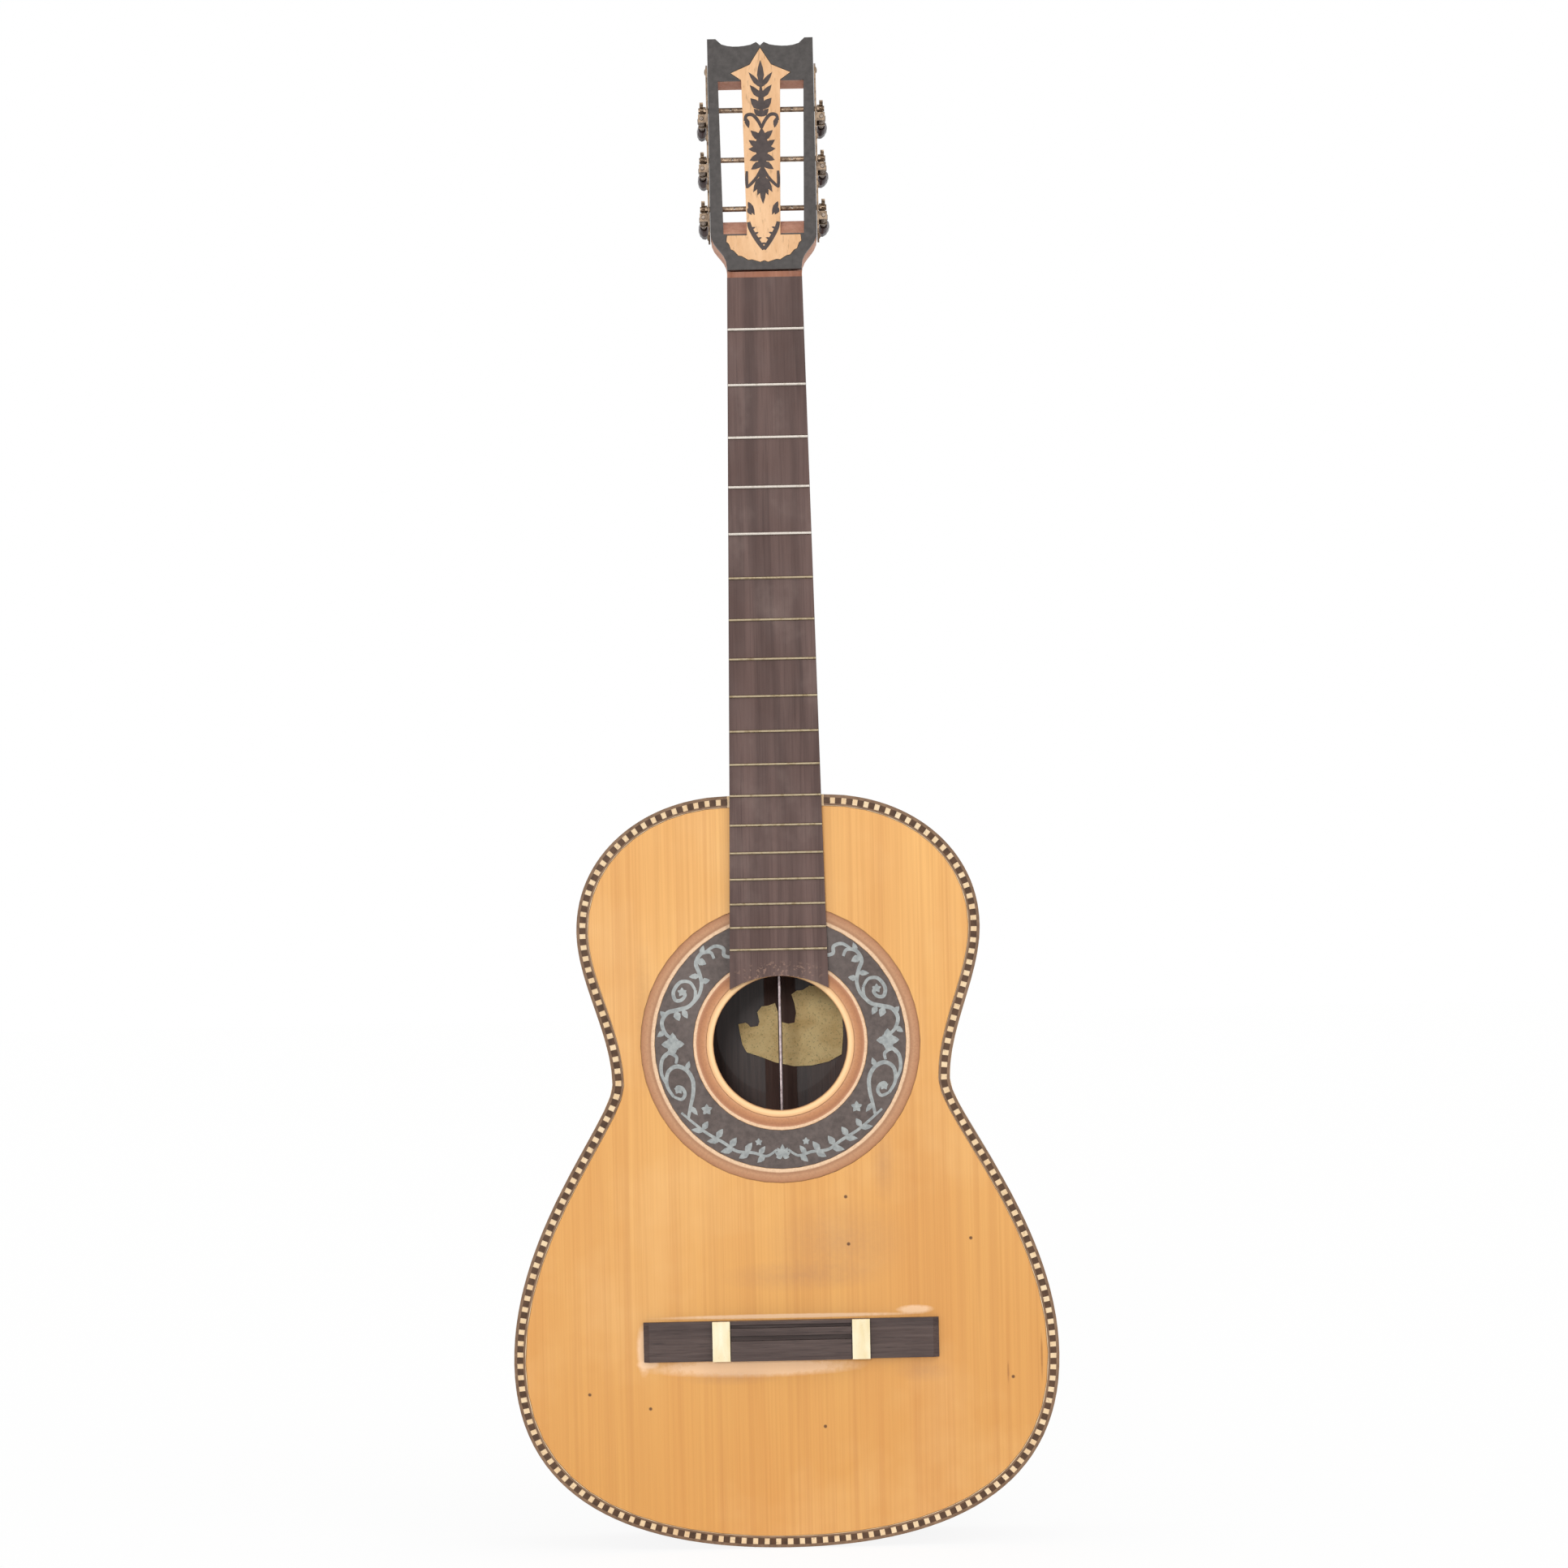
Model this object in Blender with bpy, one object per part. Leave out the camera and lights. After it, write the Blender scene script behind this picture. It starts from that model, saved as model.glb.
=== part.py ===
"""An old Spanish parlour guitar with a slotted head and six worm-and-gear tuners.

X runs across the guitar with the bass side at -X, Y from its front to its back, and Z up
along the strings, with the tail of the body at z = 0. All sizes are in metres.
The head and its tuners are modelled in the head's own leaning frame, where X is the
same, Y runs from the head's front face to its back, and Z up along the head.
"""

import math

import bmesh
import bpy
from mathutils import Matrix, Vector

# Gap between pieces that touch, and how far joined shapes run into each other
GAP = 0.0003
LAP = 0.0005

# Strings, which set the frets, the nut and the bridge
STRING_LENGTH = 0.650
FRET_COUNT = 18
BODY_FRET = 12
STRING_COUNT = 6
STRINGS_WIDTH_AT_BRIDGE = 0.0585

# Body outline: half widths and heights of the bouts, and how far each curve reaches
BODY_LENGTH = 0.466
BODY_DEPTH = 0.092
LOWER_HALF, LOWER_Z = 0.16895, 0.117
WAIST_HALF, WAIST_Z = 0.1046, 0.2887
UPPER_HALF, UPPER_Z = 0.1250, 0.3836
HEEL_SEAT_HALF = 0.030
TAIL_REACH, LOWER_REACH_DOWN, LOWER_REACH_UP = 0.0978, 0.0849, 0.0809
WAIST_REACH_DOWN, WAIST_REACH_UP = 0.0213, 0.0324
UPPER_REACH_DOWN, UPPER_REACH_UP, TOP_REACH = 0.0317, 0.0485, 0.0515
CURVE_STEPS = 11

# Plates, sides and what stiffens them
TOP_THICKNESS = 0.0026
BACK_THICKNESS = 0.0026
RIB_THICKNESS = 0.0020
LINING_WIDTH = 0.0050
LINING_HEIGHT = 0.0140
LINING_EDGE = 0.0055
RIB_SLOT_HALF = 0.0100
TAIL_BLOCK_HALF = 0.0320
TAIL_BLOCK_TOP = 0.0200
FAN_STRUTS = 7
FAN_STRUT_WIDTH, FAN_STRUT_HEIGHT = 0.0040, 0.0050
FAN_BOTTOM_Z, FAN_TOP_Z = 0.048, 0.238
FAN_BOTTOM_SPREAD, FAN_TOP_SPREAD = 0.031, 0.019
HARMONIC_BAR_WIDTH, HARMONIC_BAR_HEIGHT = 0.0070, 0.0170
HARMONIC_BAR_TIP = 0.0050
HARMONIC_BAR_SLOPE = 0.030
HARMONIC_BAR_FROM_HOLE = 0.0150
BACK_BRACE_HEIGHTS = (0.092, 0.225, 0.372)
BACK_BRACE_WIDTH, BACK_BRACE_HEIGHT = 0.0080, 0.0120
BACK_STRIP_HALF, BACK_STRIP_THICKNESS = 0.0100, 0.0016
BACK_STRIP_END = 0.0040

# Edge inlay, sound hole and rosette
PURFLING_WIDTH, PURFLING_DEPTH = 0.0070, 0.0012
HOLE_Z = 0.3125
HOLE_RADIUS = 0.0416
HOLE_SEGMENTS = 48
ROSETTE_DEPTH = 0.0010
ROSETTE_RIM = 0.0045
INNER_BAND_WIDTH, MAIN_BAND_WIDTH, OUTER_BAND_WIDTH = 0.0078, 0.0236, 0.0084

# Label inside the back, and the steel rod behind the top
LABEL_THICKNESS = 0.0005
LABEL_HALF = 0.0335
LABEL_BOTTOM, LABEL_TOP = 0.293, 0.345
LABEL_CENTRE_X = 0.0065
LABEL_BOW = 0.0100
ROD_RADIUS = 0.00125
ROD_BEHIND_TOP = 0.0240
ROD_SOCKET = 0.0060

# Neck, heel and foot
NECK_WIDTH_AT_NUT = 0.0463
NECK_WIDTH_AT_BODY = 0.0568
NECK_DEPTH_AT_NUT = 0.0195
NECK_DEPTH_AT_BODY = 0.0235
NECK_ROUNDNESS = 2.3
HEEL_LENGTH = 0.056
HEEL_SWEEP = 0.190
HEEL_CURVE = 4.0
HEEL_CAP_HALF = 0.0115
NECK_SIDE_POINTS = 7
NECK_END_RUN = 0.014
FOOT_HALF = 0.0300
FOOT_LENGTH = 0.0300
FOOT_TOE_LENGTH = 0.0420
FOOT_TOE_HEIGHT, FOOT_TOE_TIP = 0.0150, 0.0080
FOOT_CORE_HALF = 0.0094

# Fingerboard and frets
FINGERBOARD_THICKNESS = 0.0050
FINGERBOARD_END_WIDTH = 0.0612
FINGERBOARD_END_STEPS = 8
NUT_SEAT = 0.0043
FRET_SLOT_DEPTH = 0.0022
FRET_TANG = 0.0006
FRET_HEIGHT = 0.0010
FRET_WIDTH = 0.0017
LOW_FRET_WIDTH = 0.0021
LOW_FRETS = 5
FRET_END_INSET = 0.0002

# Bridge
BRIDGE_LENGTH, BRIDGE_WIDTH = 0.1828, 0.0246
BRIDGE_OFFSET = 0.0030
BRIDGE_ABOVE_SADDLE = 0.0032
SADDLE_SET_BACK = 0.0030
WING_HEIGHT, WING_END_HEIGHT, WING_BEVEL = 0.0042, 0.0022, 0.0035
BONE_WIDTH, BONE_THICKNESS = 0.0112, 0.0024
TIE_BLOCK_HALF = 0.0375
TIE_BLOCK_HEIGHT, TIE_BLOCK_WIDTH = 0.0085, 0.0125
SADDLE_SHELF_HEIGHT, SADDLE_SHELF_WIDTH = 0.0078, 0.0090
SADDLE_SLOT_WIDTH, SADDLE_SLOT_DEPTH = 0.0022, 0.0040
TIE_CHANNEL_HEIGHT = 0.0040
STRING_HOLE_RADIUS = 0.0009
BRIDGE_DRAFT = 0.0002

# Head, in its own frame
HEAD_LEAN = math.radians(12)
HEAD_LENGTH = 0.1508
HEAD_WIDTH = 0.0660
HEAD_THICKNESS = 0.0160
VENEER_THICKNESS = 0.0020
HEAD_SHOULDER_Z = 0.0200
HEAD_EAR_WIDTH = 0.0052
HEAD_SCOOP_DEPTH = 0.0052
HEAD_PEAK_HALF, HEAD_PEAK_DROP, HEAD_NOTCH_DROP = 0.0024, 0.0024, 0.0046
SLOT_BOTTOM_Z, SLOT_TOP_Z = 0.0225, 0.1235
SLOT_WIDTH = 0.0146
SLOT_INNER_BOTTOM, SLOT_INNER_TOP = 0.0103, 0.0121
SLOT_RAMP = 0.0144
INLAY_TIP_Z, INLAY_WING_Z, INLAY_WING_HALF = 0.1445, 0.1282, 0.0185
INLAY_NECK_Z, INLAY_NECK_HALF = 0.1335, 0.0067
INLAY_FAN_HALF, INLAY_FAN_BOTTOM_Z = 0.0228, 0.0062
INLAY_FAN_TEETH = 5
INLAY_TOOTH = 0.0011

# Tuners, in the head's frame
ROLLER_HEIGHTS = (0.0427, 0.0746, 0.1071)
ROLLER_DEPTH = 0.0075
ROLLER_RADIUS = 0.0017
ROLLER_SEAT = 0.0035
STRING_WAY_RADIUS = 0.0007
GEAR_TEETH = 14
GEAR_MODULE = 0.000675
GEAR_THICKNESS = 0.0022
GEAR_BACKLASH = 0.00034
GEAR_SCREW_RADIUS, GEAR_SCREW_HEIGHT = 0.0019, 0.0008
COLLAR_RADIUS = 0.0026
WORM_RADIUS = 0.0027
WORM_TURNS = 3.2
WORM_STEPS = 10
FLANK_ANGLE = math.radians(20)
JOURNAL_RADIUS = 0.00115
SHAFT_RADIUS = 0.0015
PLATE_THICKNESS = 0.0011
PLATE_WIDTH = 0.0140
PLATE_BOTTOM_Z, PLATE_TOP_Z = 0.0200, 0.1370
PLATE_POINT = 0.0040
LUG_THICKNESS, LUG_HALF, LUG_REACH = 0.0013, 0.0026, 0.0021
WORM_END_PLAY = 0.0004
BUTTON_BEHIND_HEAD = 0.0070
BUTTON_LENGTH = 0.0115
BUTTON_HALF_WIDTH, BUTTON_HALF_THICKNESS = 0.0056, 0.0034
BUTTON_SOCKET = 0.0055
BUTTON_TURNS = {1: 24, 2: 28, 3: 20, 4: -4, 5: 6, 6: 9}

# Heights along Y and Z that follow from the sizes above
FACE_Y = TIE_BLOCK_HEIGHT + GAP - (BODY_DEPTH + TIE_BLOCK_HEIGHT + GAP) / 2
BACK_Y = FACE_Y + BODY_DEPTH
TOP_INSIDE_Y = FACE_Y + TOP_THICKNESS
BACK_INSIDE_Y = BACK_Y - BACK_THICKNESS
NUT_Z = BODY_LENGTH + STRING_LENGTH * 2 ** (-BODY_FRET / 12)
SADDLE_Z = NUT_Z - STRING_LENGTH - SADDLE_SET_BACK
BRIDGE_TOP_Z = SADDLE_Z + BRIDGE_ABOVE_SADDLE
BRIDGE_BOTTOM_Z = BRIDGE_TOP_Z - BRIDGE_WIDTH
HEAD_HALF = HEAD_WIDTH / 2
VENEER_FRONT = -GAP - VENEER_THICKNESS
PITCH = math.pi * GEAR_MODULE
GEAR_RADIUS = GEAR_MODULE * GEAR_TEETH / 2
WORM_PITCH_RADIUS = WORM_RADIUS - GEAR_MODULE
WORM_DROP = GEAR_RADIUS + WORM_PITCH_RADIUS
PLATE_INNER_X = HEAD_HALF + GAP
PLATE_OUTER_X = PLATE_INNER_X + PLATE_THICKNESS
GEAR_X = PLATE_OUTER_X + WORM_RADIUS + GAP
WORM_HALF_LENGTH = PITCH * (WORM_TURNS + 0.8) / 2
LUG_INNER = WORM_HALF_LENGTH + WORM_END_PLAY
BUTTON_FRONT = HEAD_THICKNESS + BUTTON_BEHIND_HEAD - ROLLER_DEPTH


# Colours as base colour, roughness and metallic value
MATERIALS = {
    "spruce": ((0.83, 0.50, 0.19), 0.45, 0.0),
    "rosewood": ((0.10, 0.045, 0.025), 0.35, 0.0),
    "cedar": ((0.26, 0.12, 0.06), 0.45, 0.0),
    "ebony": ((0.12, 0.10, 0.09), 0.45, 0.0),
    "pale_wood": ((0.80, 0.52, 0.28), 0.50, 0.0),
    "rosette": ((0.14, 0.11, 0.10), 0.50, 0.0),
    "band_wood": ((0.55, 0.30, 0.13), 0.50, 0.0),
    "checker": ((0.55, 0.42, 0.28), 0.50, 0.0),
    "bone": ((0.93, 0.84, 0.60), 0.35, 0.0),
    "horn": ((0.07, 0.055, 0.055), 0.30, 0.0),
    "brass": ((0.34, 0.26, 0.16), 0.40, 1.0),
    "nickel": ((0.50, 0.46, 0.42), 0.35, 1.0),
    "steel": ((0.45, 0.40, 0.38), 0.40, 1.0),
    "paper": ((0.36, 0.28, 0.12), 0.90, 0.0),
}


# Small tools for building solids


def clear_scene():
    for thing in list(bpy.data.objects):
        bpy.data.objects.remove(thing, do_unlink=True)


def material(name):
    """The named material, made the first time it is asked for."""
    found = bpy.data.materials.get(name)
    if found:
        return found
    colour, roughness, metallic = MATERIALS[name]
    made = bpy.data.materials.new(name)
    made.use_nodes = True
    shader = made.node_tree.nodes["Principled BSDF"]
    shader.inputs["Base Color"].default_value = (*colour, 1.0)
    shader.inputs["Roughness"].default_value = roughness
    shader.inputs["Metallic"].default_value = metallic
    made.diffuse_color = (*colour, 1.0)
    return made


def finish_mesh(name, bm, material_name, smooth=None):
    """Turns a bmesh into a linked object, smooth across edges flatter than the given angle."""
    bmesh.ops.remove_doubles(bm, verts=bm.verts, dist=1e-7)
    bmesh.ops.recalc_face_normals(bm, faces=bm.faces)
    mesh = bpy.data.meshes.new(name)
    bm.to_mesh(mesh)
    bm.free()
    if smooth:
        mesh.shade_smooth()
        mesh.set_sharp_from_angle(angle=math.radians(smooth))
    made = bpy.data.objects.new(name, mesh)
    if material_name:
        mesh.materials.append(material(material_name))
    bpy.context.scene.collection.objects.link(made)
    return made


def add_loft(bm, rings, closed=False):
    """Adds a skin through rings of points, with end faces, or joined back to its first ring."""
    loops = [[bm.verts.new(point) for point in ring] for ring in rings]
    count = len(loops[0])
    pairs = list(zip(loops, loops[1:]))
    if closed:
        pairs.append((loops[-1], loops[0]))
    else:
        bm.faces.new(loops[0])
        bm.faces.new(loops[-1])
    for near, far in pairs:
        for i in range(count):
            j = (i + 1) % count
            bm.faces.new((near[i], near[j], far[j], far[i]))


def loft(name, rings, material_name, closed=False, smooth=None):
    bm = bmesh.new()
    add_loft(bm, rings, closed)
    return finish_mesh(name, bm, material_name, smooth)


def front_ring(outline, y):
    """An outline of (x, z) points as a ring at depth y."""
    return [(x, y, z) for x, z in outline]


def side_ring(outline, x):
    """An outline of (y, z) points as a ring at x."""
    return [(x, y, z) for y, z in outline]


def plate(name, outline, y0, y1, material_name, smooth=None):
    """A flat piece: an (x, z) outline between two depths."""
    return loft(name, [front_ring(outline, y0), front_ring(outline, y1)], material_name, smooth=smooth)


def box_rings(x0, x1, y0, y1, z0, z1):
    outline = [(x0, z0), (x1, z0), (x1, z1), (x0, z1)]
    return [front_ring(outline, y0), front_ring(outline, y1)]


def lathe_rings(profile, segments, axis, centre=(0, 0, 0)):
    """Rings of a turned shape: profile holds (place along the axis, radius), axis is X or Y."""
    cx, cy, cz = centre
    rings = []
    for along, radius in profile:
        ring = []
        for i in range(segments):
            turn = math.tau * i / segments
            a, b = radius * math.sin(turn), radius * math.cos(turn)
            if axis == "X":
                ring.append((cx + along, cy + a, cz + b))
            else:
                ring.append((cx + a, cy + along, cz + b))
        rings.append(ring)
    return rings


def band(name, inner, outer, y0, y1, material_name):
    """A flat ring round the sound hole."""
    rings = []
    for y, radius in ((y0, inner), (y0, outer), (y1, outer), (y1, inner)):
        rings += lathe_rings([(y, radius)], HOLE_SEGMENTS, "Y", (0, 0, HOLE_Z))
    return loft(name, rings, material_name, closed=True, smooth=40)


def group(name, shapes):
    """One cutter or joining shape made of several lofts that don't touch each other."""
    bm = bmesh.new()
    for rings in shapes:
        add_loft(bm, rings)
    return finish_mesh(name, bm, None)


def combine(target, tool, operation):
    """A Boolean on the target; the tool stays in the scene as a hidden guide."""
    tool.hide_render = True
    tool.display_type = "WIRE"
    modifier = target.modifiers.new(tool.name, "BOOLEAN")
    modifier.operation = operation
    modifier.object = tool
    modifier.solver = "EXACT"


def cut(target, tool):
    combine(target, tool, "DIFFERENCE")


def join(target, tool):
    combine(target, tool, "UNION")


def place(thing, parent, location=(0, 0, 0), turn=0.0):
    """Hangs a piece on a parent, at a place in the parent's frame, turned about its own Y axis."""
    thing.parent = parent
    thing.location = location
    thing.rotation_euler = (0, turn, 0)


# Outlines


def bezier(start, reach_out, reach_in, end, steps):
    """Points of a cubic curve from start up to, but without, its end."""
    a, d = Vector(start), Vector(end)
    b, c = a + Vector(reach_out), d + Vector(reach_in)
    points = []
    for i in range(steps):
        t = i / steps
        s = 1 - t
        point = a * s**3 + b * 3 * s * s * t + c * 3 * s * t * t + d * t**3
        points.append(tuple(point))
    return points


def half_outline():
    """The treble half of the body's outline, from the middle of the tail to the heel seat."""
    tail, heel = (0, 0), (HEEL_SEAT_HALF, BODY_LENGTH)
    lower, waist, upper = (LOWER_HALF, LOWER_Z), (WAIST_HALF, WAIST_Z), (UPPER_HALF, UPPER_Z)
    points = bezier(tail, (TAIL_REACH, 0), (0, -LOWER_REACH_DOWN), lower, CURVE_STEPS + 2)
    points += bezier(lower, (0, LOWER_REACH_UP), (0, -WAIST_REACH_DOWN), waist, CURVE_STEPS)
    points += bezier(waist, (0, WAIST_REACH_UP), (0, -UPPER_REACH_DOWN), upper, CURVE_STEPS)
    points += bezier(upper, (0, UPPER_REACH_UP), (TOP_REACH, 0), heel, CURVE_STEPS)
    return points + [heel]


def inset(points, distance):
    """A closed outline, running anticlockwise, moved inwards by the distance."""
    moved = []
    for i, point in enumerate(points):
        here = Vector(point)
        before = (here - Vector(points[i - 1])).normalized()
        after = (Vector(points[(i + 1) % len(points)]) - here).normalized()
        inward = Vector((-(before.y + after.y), before.x + after.x))
        inward *= distance / (1 + before.dot(after))
        moved.append(tuple(here + inward))
    return moved


def body_outline(distance=0.0):
    """The whole outline of the body, anticlockwise from the tail, moved inwards."""
    half = half_outline()
    mirrored = [(-x, z) for x, z in reversed(half[1:])]
    return inset(half + mirrored, distance)


def half_width_at(z, distance=0.0):
    """Half the body's width at a height, inside a wall of the given thickness."""
    half = [(x, height) for x, height in body_outline(distance) if x >= 0]
    for (x0, z0), (x1, z1) in zip(half, half[1:]):
        if z0 <= z <= z1:
            return x0 + (x1 - x0) * (z - z0) / (z1 - z0)
    return 0.0


def clear_half_width(z, width):
    """How far a bar of this width across Z may reach, clear of the linings."""
    wall = RIB_THICKNESS + LINING_WIDTH + GAP
    return min(half_width_at(z - width / 2, wall), half_width_at(z + width / 2, wall))


def neck_width_at(z):
    slope = (NECK_WIDTH_AT_BODY - NECK_WIDTH_AT_NUT) / (NUT_Z - BODY_LENGTH)
    return NECK_WIDTH_AT_NUT + slope * (NUT_Z - z)


def fret_z(number):
    return NUT_Z - STRING_LENGTH * (1 - 2 ** (-number / 12))


# Body


def soundboard():
    """The top plate, rebated for its edge inlay and rosette, with its fan struts glued behind."""
    ledge_y = FACE_Y + PURFLING_DEPTH + GAP
    edge = PURFLING_WIDTH + GAP
    rings = [
        front_ring(body_outline(edge), FACE_Y),
        front_ring(body_outline(edge), ledge_y),
        front_ring(body_outline(), ledge_y),
        front_ring(body_outline(), TOP_INSIDE_Y),
    ]
    top = loft("soundboard", rings, "spruce", smooth=30)
    join(top, fan_struts())
    way = [(FACE_Y - TOP_THICKNESS, HOLE_RADIUS), (TOP_INSIDE_Y + TOP_THICKNESS, HOLE_RADIUS)]
    cut(top, group("hole_cutter", [lathe_rings(way, HOLE_SEGMENTS, "Y", (0, 0, HOLE_Z))]))
    inner, outer = rosette_edges()[0] - GAP, rosette_edges()[-1] + GAP
    cut(top, band("rosette_cutter", inner, outer, FACE_Y - GAP, FACE_Y + ROSETTE_DEPTH + GAP, None))
    return top


def fan_struts():
    """Thin bars that spread down behind the bridge from below the sound hole."""
    struts = []
    for number in range(FAN_STRUTS):
        place_in_fan = number - (FAN_STRUTS - 1) / 2
        drop = abs(place_in_fan) * FAN_STRUT_HEIGHT
        ends = (
            (place_in_fan * FAN_BOTTOM_SPREAD, FAN_BOTTOM_Z + drop),
            (place_in_fan * FAN_TOP_SPREAD, FAN_TOP_Z - drop),
        )
        rings = []
        for share, height in ((0, 0.3), (0.12, 1), (0.88, 1), (1, 0.3)):
            x = ends[0][0] + (ends[1][0] - ends[0][0]) * share
            z = ends[0][1] + (ends[1][1] - ends[0][1]) * share
            half, back = FAN_STRUT_WIDTH / 2, TOP_INSIDE_Y + FAN_STRUT_HEIGHT * height
            front = TOP_INSIDE_Y - LAP
            corners = ((-half, front), (half, front), (half, back), (-half, back))
            rings.append([(x + across, y, z) for across, y in corners])
        struts.append(rings)
    return group("fan_strut_shapes", struts)


def rosette_edges():
    """Radii of the rosette's three bands, inner and outer edge of each in turn."""
    edges = []
    radius = HOLE_RADIUS + ROSETTE_RIM
    for width in (INNER_BAND_WIDTH, MAIN_BAND_WIDTH, OUTER_BAND_WIDTH):
        edges += [radius, radius + width]
        radius += width + GAP
    return edges


def rosette():
    edges = rosette_edges()
    names = ("rosette_inner_band", "rosette_main_band", "rosette_outer_band")
    kinds = ("band_wood", "rosette", "band_wood")
    for i, (name, kind) in enumerate(zip(names, kinds)):
        band(name, edges[2 * i], edges[2 * i + 1], FACE_Y, FACE_Y + ROSETTE_DEPTH, kind)


def purfling():
    """The inlaid band that follows the whole edge of the top."""
    outer, inner = body_outline(), body_outline(PURFLING_WIDTH)
    rings = [
        front_ring(outer, FACE_Y),
        front_ring(outer, FACE_Y + PURFLING_DEPTH),
        front_ring(inner, FACE_Y + PURFLING_DEPTH),
        front_ring(inner, FACE_Y),
    ]
    return loft("purfling", rings, "checker", closed=True, smooth=30)


def back():
    """The flat back with its three cross braces, which bridge the centre strip."""
    outline = body_outline()
    rings = [front_ring(outline, BACK_INSIDE_Y), front_ring(outline, BACK_Y)]
    made = loft("back", rings, "rosewood", smooth=30)
    braces, strip_ways = [], []
    strip_half = BACK_STRIP_HALF + GAP
    strip_front = BACK_INSIDE_Y - BACK_STRIP_THICKNESS - 2 * GAP
    for z in BACK_BRACE_HEIGHTS:
        reach = clear_half_width(z, BACK_BRACE_WIDTH)
        low, high = z - BACK_BRACE_WIDTH / 2, z + BACK_BRACE_WIDTH / 2
        foot_y, crest_y = BACK_INSIDE_Y + LAP, BACK_INSIDE_Y - BACK_BRACE_HEIGHT
        tip_y = BACK_INSIDE_Y - HARMONIC_BAR_TIP
        shape = [(-reach, foot_y), (reach, foot_y), (reach, tip_y), (reach - HARMONIC_BAR_SLOPE, crest_y)]
        shape += [(HARMONIC_BAR_SLOPE - reach, crest_y), (-reach, tip_y)]
        braces.append([[(x, y, low) for x, y in shape], [(x, y, high) for x, y in shape]])
        way = box_rings(-strip_half, strip_half, strip_front, BACK_INSIDE_Y, low - LAP, high + LAP)
        strip_ways.append(way)
    braced = group("back_brace_shapes", braces)
    cut(braced, group("strip_way_cutter", strip_ways))
    join(made, braced)
    return made


def back_strip():
    """The strip that backs the joint down the middle of the back."""
    low = TAIL_BLOCK_TOP + BACK_STRIP_END
    high = foot_bottom_z() - FOOT_TOE_LENGTH - BACK_STRIP_END
    y1 = BACK_INSIDE_Y - GAP
    rings = box_rings(-BACK_STRIP_HALF, BACK_STRIP_HALF, y1 - BACK_STRIP_THICKNESS, y1, low, high)
    return loft("back_strip", rings, "cedar")


def rib(name, side):
    """One bent side with its linings, from the tail seam into the slot beside the heel."""
    y0, y1 = TOP_INSIDE_Y + GAP, BACK_INSIDE_Y - GAP
    walls = [body_outline(0.0), body_outline(RIB_THICKNESS), body_outline(RIB_THICKNESS + LINING_WIDTH)]
    stations = len(half_outline())
    rings = []
    for i in range(stations):
        outer, wall, lined = walls[0][i], walls[1][i], walls[2][i]
        if i == 0:
            outer, wall, lined = [(GAP / 2, point[1]) for point in (outer, wall, lined)]
        inmost = min(walls[0][max(i - 1, 0)][0], outer[0], walls[0][i + 1][0])
        if inmost < max(TAIL_BLOCK_HALF, FOOT_HALF) + 2 * GAP:
            lined = wall
        rings.append(rib_section(outer, wall, lined, y0, y1, side))
    end_outer = (RIB_SLOT_HALF, BODY_LENGTH)
    end_wall = (RIB_SLOT_HALF, BODY_LENGTH - RIB_THICKNESS)
    rings.append(rib_section(end_outer, end_wall, end_wall, y0, y1, side))
    return loft(name, rings, "rosewood", smooth=30)


def rib_section(outer, wall, lined, y0, y1, side):
    """A side's section: its thin wall, and a lining along each edge that slopes into the wall."""
    shape = [(outer, y0), (outer, y1), (lined, y1), (lined, y1 - LINING_EDGE)]
    shape += [(wall, y1 - LINING_HEIGHT), (wall, y0 + LINING_HEIGHT)]
    shape += [(lined, y0 + LINING_EDGE), (lined, y0)]
    return [(side * x, y, z) for (x, z), y in shape]


def harmonic_bar(name, z):
    """A cross bar behind the top, lower towards its ends, clear of the linings."""
    reach = clear_half_width(z, HARMONIC_BAR_WIDTH)
    y0 = TOP_INSIDE_Y + GAP
    tip, crest = y0 + HARMONIC_BAR_TIP, y0 + HARMONIC_BAR_HEIGHT
    shape = [(-reach, y0), (reach, y0), (reach, tip), (reach - HARMONIC_BAR_SLOPE, crest)]
    shape += [(HARMONIC_BAR_SLOPE - reach, crest), (-reach, tip)]
    low, high = z - HARMONIC_BAR_WIDTH / 2, z + HARMONIC_BAR_WIDTH / 2
    return loft(name, [[(x, y, low) for x, y in shape], [(x, y, high) for x, y in shape]], "spruce")


def tail_block():
    """The block that joins the two sides at the tail and takes the lower end of the rod."""
    wall = RIB_THICKNESS + GAP
    treble = [(x, z) for x, z in body_outline(wall) if 0 <= x < TAIL_BLOCK_HALF and z < TAIL_BLOCK_TOP]
    corner = (TAIL_BLOCK_HALF, tail_inside_z(TAIL_BLOCK_HALF))
    treble = sorted(treble) + [corner, (TAIL_BLOCK_HALF, TAIL_BLOCK_TOP)]
    outline = treble + [(-x, z) for x, z in reversed(treble) if x > GAP]
    y0, y1 = TOP_INSIDE_Y + GAP, BACK_INSIDE_Y - GAP
    made = plate("tail_block", outline, y0, y1, "cedar")
    cut(made, rod_socket("tail_socket_cutter", TAIL_BLOCK_TOP - ROD_SOCKET, TAIL_BLOCK_TOP + LAP))
    return made


def tail_inside_z(x):
    """Height of the inside of the sides near the tail, at a place across it."""
    half = [point for point in body_outline(RIB_THICKNESS + GAP) if point[0] >= 0]
    for (x0, z0), (x1, z1) in zip(half, half[1:]):
        if x0 <= x <= x1:
            return z0 + (z1 - z0) * (x - x0) / (x1 - x0)
    return 0.0


def rod_rings(radius, low, high, segments):
    centre_y = TOP_INSIDE_Y + ROD_BEHIND_TOP
    rings = []
    for z in (low, high):
        turns = [math.tau * i / segments for i in range(segments)]
        rings.append([(radius * math.cos(a), centre_y + radius * math.sin(a), z) for a in turns])
    return rings


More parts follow.
